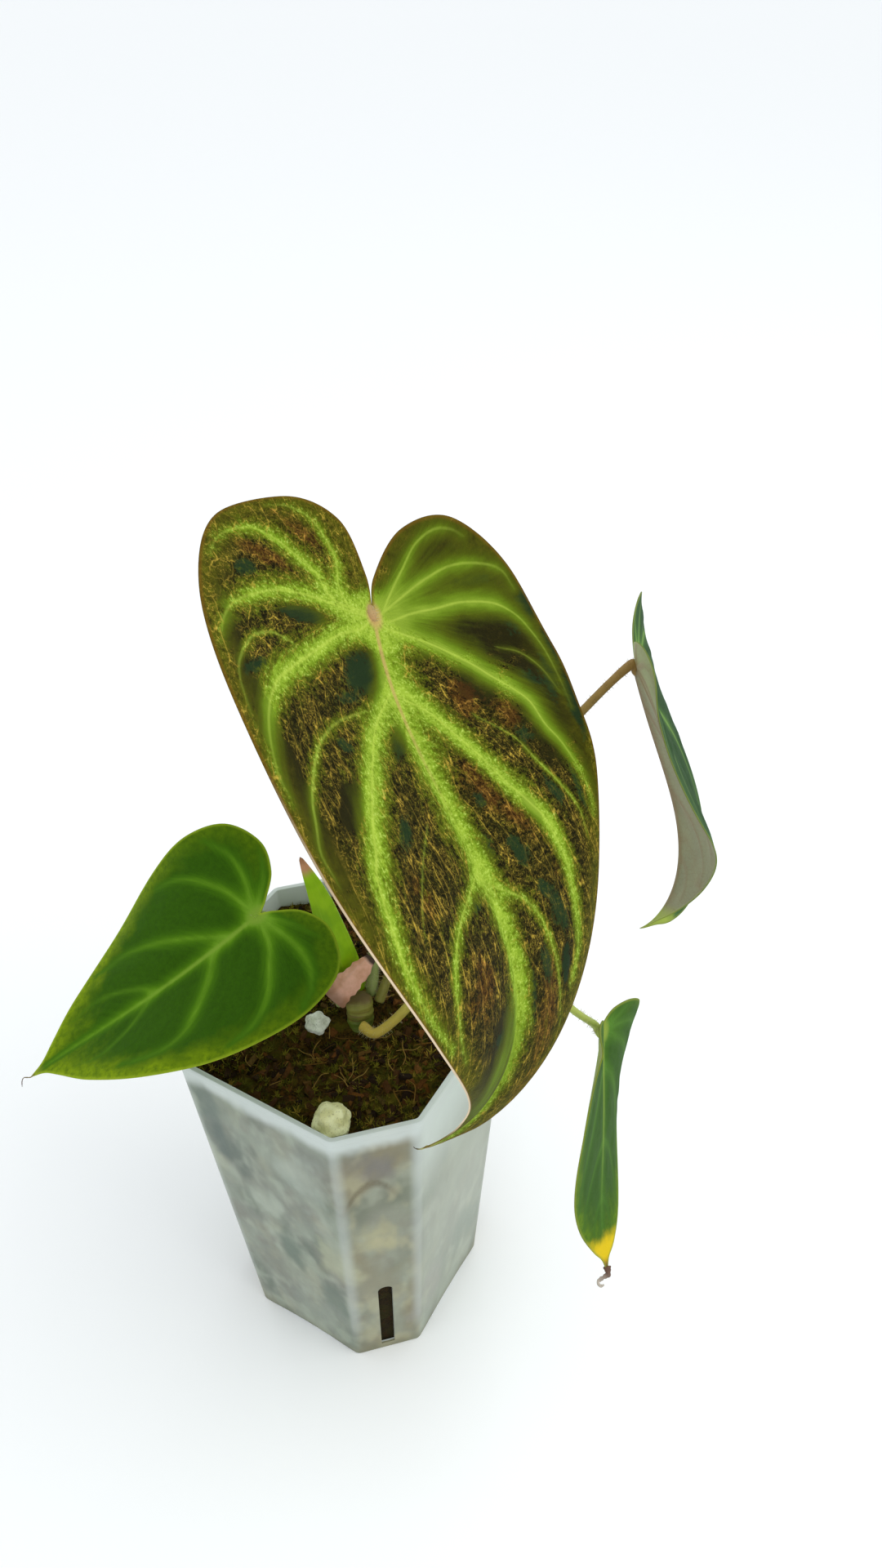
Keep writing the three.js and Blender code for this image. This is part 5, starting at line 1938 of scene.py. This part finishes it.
    def _material(self) -> Material:
        """Builds the frosted plastic, through which the damp mix shows as soft blotches, with painted light
        on the walls that face the lamp.
        """
        paint = Paint("frosted_plastic")
        place = paint.object_place(PER_METRE)
        x, y, height = paint.parts(place)
        fine = paint.clouds(place, 0.9, 3.0)
        squat = paint.scaled(place, (1.0, 1.0, 0.55))
        broad = [part.lively(2.4) for part in paint.parts(paint.drift(squat, 0.05))]
        close = [part.lively(2.4) for part in paint.parts(paint.drift(squat, 0.11))]
        wide_side, narrow_side = x.size().most(y.size()), x.size().least(y.size())
        chamfer = (wide_side - narrow_side).fall(12.0, 20.0)
        colour = paint.layers(
            "787e72",
            (broad[0].rise(0.2, 0.8), "8c9585"),
            (broad[1].rise(0.5, 1.0) * 0.8, "596858"),
            (close[0].rise(0.5, 1.0) * 0.45, "757266"),
            (close[1].rise(0.45, 0.95) * 0.5, "a5ae9c"),
            (broad[2].rise(0.45, 0.9) * (0.12 + chamfer * 0.5) + chamfer * 0.3, "7d7659"),
            (close[2].rise(0.5, 0.95) * (0.15 + chamfer * 0.35), "aaa684"),
            *((stain.amount((x, y, height), close[1]), stain.tint) for stain in POT_STAINS),
        )
        colour = paint.toned(colour, 0.92 + paint.clouds(squat, 0.28, 3.0).lively() * 0.14)
        # Painted light: the walls that face the lamp are painted lighter, and lighter still towards the top.
        lit = (x + y * 0.25).rise(20.0, 44.0) * (wide_side - narrow_side).rise(12.0, 22.0)
        fold = (narrow_side - height * 0.04 - 21.0).size().fall(0.3, 2.6) * height.rise(6.0, 30.0)
        to_wall = 37.0 + height * 0.0533 - wide_side
        to_bevel = (58.0 + height * 0.0933 - wide_side - narrow_side) * 0.7
        colour = paint.layers(
            colour,
            (lit * height.rise(-60.0, 100.0) * 0.6, "b9bfb0"),
            (lit * height.rise(95.0, 140.0) * 0.7, "dbe6e4"),
            (height.fall(0.0, 9.0) * 0.45, "6c6e50"),
            (self._bark_arc(x, y, height) * (0.3 + fine * 0.5), "4f4426"),
            (fold * 0.3, "c3cac8"),
            (to_wall.least(to_bevel).rise(0.4, 0.8) * 0.85, "dfe8e4"),
            ((height + close[0].sway(3.0)).rise(138.0, 145.0) * 0.85, "cad3cf"),
        )
        paint.bump(fine, 0.00015, 0.3)
        gloss = {"Coat_Weight": 0.08, "Coat_Roughness": 0.4, "Specular_IOR_Level": 0.25}
        return paint.surface(colour, 0.42 + fine * 0.08, **gloss)

    def _bark_arc(self, x: Value, y: Value, height: Value) -> Value:
        """Gives where a curved piece of bark shows behind the near corner."""
        along_front = (x + y) * 0.707
        from_top = along_front + 2.0
        arc = (height + from_top * from_top * 0.17 - 121.0).size().fall(0.3, 3.6)
        return arc * along_front.rise(-12.0, -8.0) * along_front.fall(1.0, 7.0) * (x - y).rise(50.0, 56.0)


# Studio


@dataclass(frozen=True)
class Viewpoint:
    """Where the picture is taken from: metres, degrees, and the lens in millimetres."""

    place: Point = (0.1498, -0.1883, 0.4327)
    azimuth: float = 30.87
    down: float = 39.85
    roll: float = -0.80
    lens: float = 27.04
    sensor: float = 36.0

    def build(self) -> None:
        """Makes the camera."""
        az, dn, ro = (math.radians(v) for v in (self.azimuth, self.down, self.roll))
        ahead = Vector((-math.sin(az) * math.cos(dn), math.cos(az) * math.cos(dn), -math.sin(dn)))
        right = Vector((math.cos(az), math.sin(az), 0.0))
        up = right.cross(ahead)
        right, up = right * math.cos(ro) + up * math.sin(ro), up * math.cos(ro) - right * math.sin(ro)
        data = bpy.data.cameras.new("view")
        data.lens = self.lens
        data.sensor_width = self.sensor
        data.dof.use_dof = False
        camera = link_object("view", data)
        turn = Matrix((right, up, -ahead)).transposed().to_4x4()
        camera.matrix_world = Matrix.Translation(self.place) @ turn
        bpy.context.scene.camera = camera


@dataclass(frozen=True)
class Lamp:
    """A soft square lamp that points at the plant, in metres and watts."""

    name: str
    place: Point
    size: float
    power: float
    colour: Point = (1.0, 1.0, 1.0)
    target: Point = (0.01, 0.0, 0.17)

    def build(self) -> None:
        """Makes the lamp."""
        data = bpy.data.lights.new(self.name, "AREA")
        data.size = self.size
        data.energy = self.power
        data.color = self.colour
        heading = Vector(self.target) - Vector(self.place)
        turn = heading.to_track_quat("-Z", "Y").to_matrix().to_4x4()
        link_object(self.name, data).matrix_world = Matrix.Translation(self.place) @ turn


@dataclass
class Studio:
    """A white floor, an even white surround and a soft lamp."""

    lamps: tuple[Lamp, ...] = (Lamp("key", (0.75, 0.2, 1.1), 0.9, 5.0, (1.0, 0.99, 0.95)),)
    surround: float = 1.0
    surround_colour: tuple[float, ...] = (0.965, 0.985, 1.0, 1.0)
    floor_colour: tuple[float, ...] = (0.95, 0.97, 0.98, 1.0)
    floor_half: float = 6.0

    def build(self) -> None:
        """Makes the surround, the floor and the lamps."""
        world = bpy.data.worlds.new("surround")
        bpy.context.scene.world = world
        world.use_nodes = True
        background = world.node_tree.nodes["Background"]
        background.inputs["Color"].default_value = self.surround_colour
        background.inputs["Strength"].default_value = self.surround
        floor = bmesh.new()
        bmesh.ops.create_grid(floor, x_segments=1, y_segments=1, size=self.floor_half)
        mesh = to_mesh(floor, "floor")
        mesh.materials.append(Paint("floor").surface(self.floor_colour, 0.7))
        ground = link_object("floor", mesh)
        for lamp in self.lamps:
            lamp.build()
        bpy.context.scene.view_settings.view_transform = "Standard"


def main() -> None:
    """Builds the studio and every piece in order."""
    logging.basicConfig(level=logging.INFO, format="%(message)s")
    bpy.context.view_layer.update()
    Viewpoint().build()
    Studio().build()
    for blade in BLADES:
        blade.build()
    rng = random.Random(5)
    for petiole in PETIOLES:
        petiole.build(rng)
    for tip in DRIED_TIPS:
        tip.build()
    Crown().build()
    PottingMix().build(random.Random(11))
    NurseryPot().build()


if __name__ == "__main__":
    main()
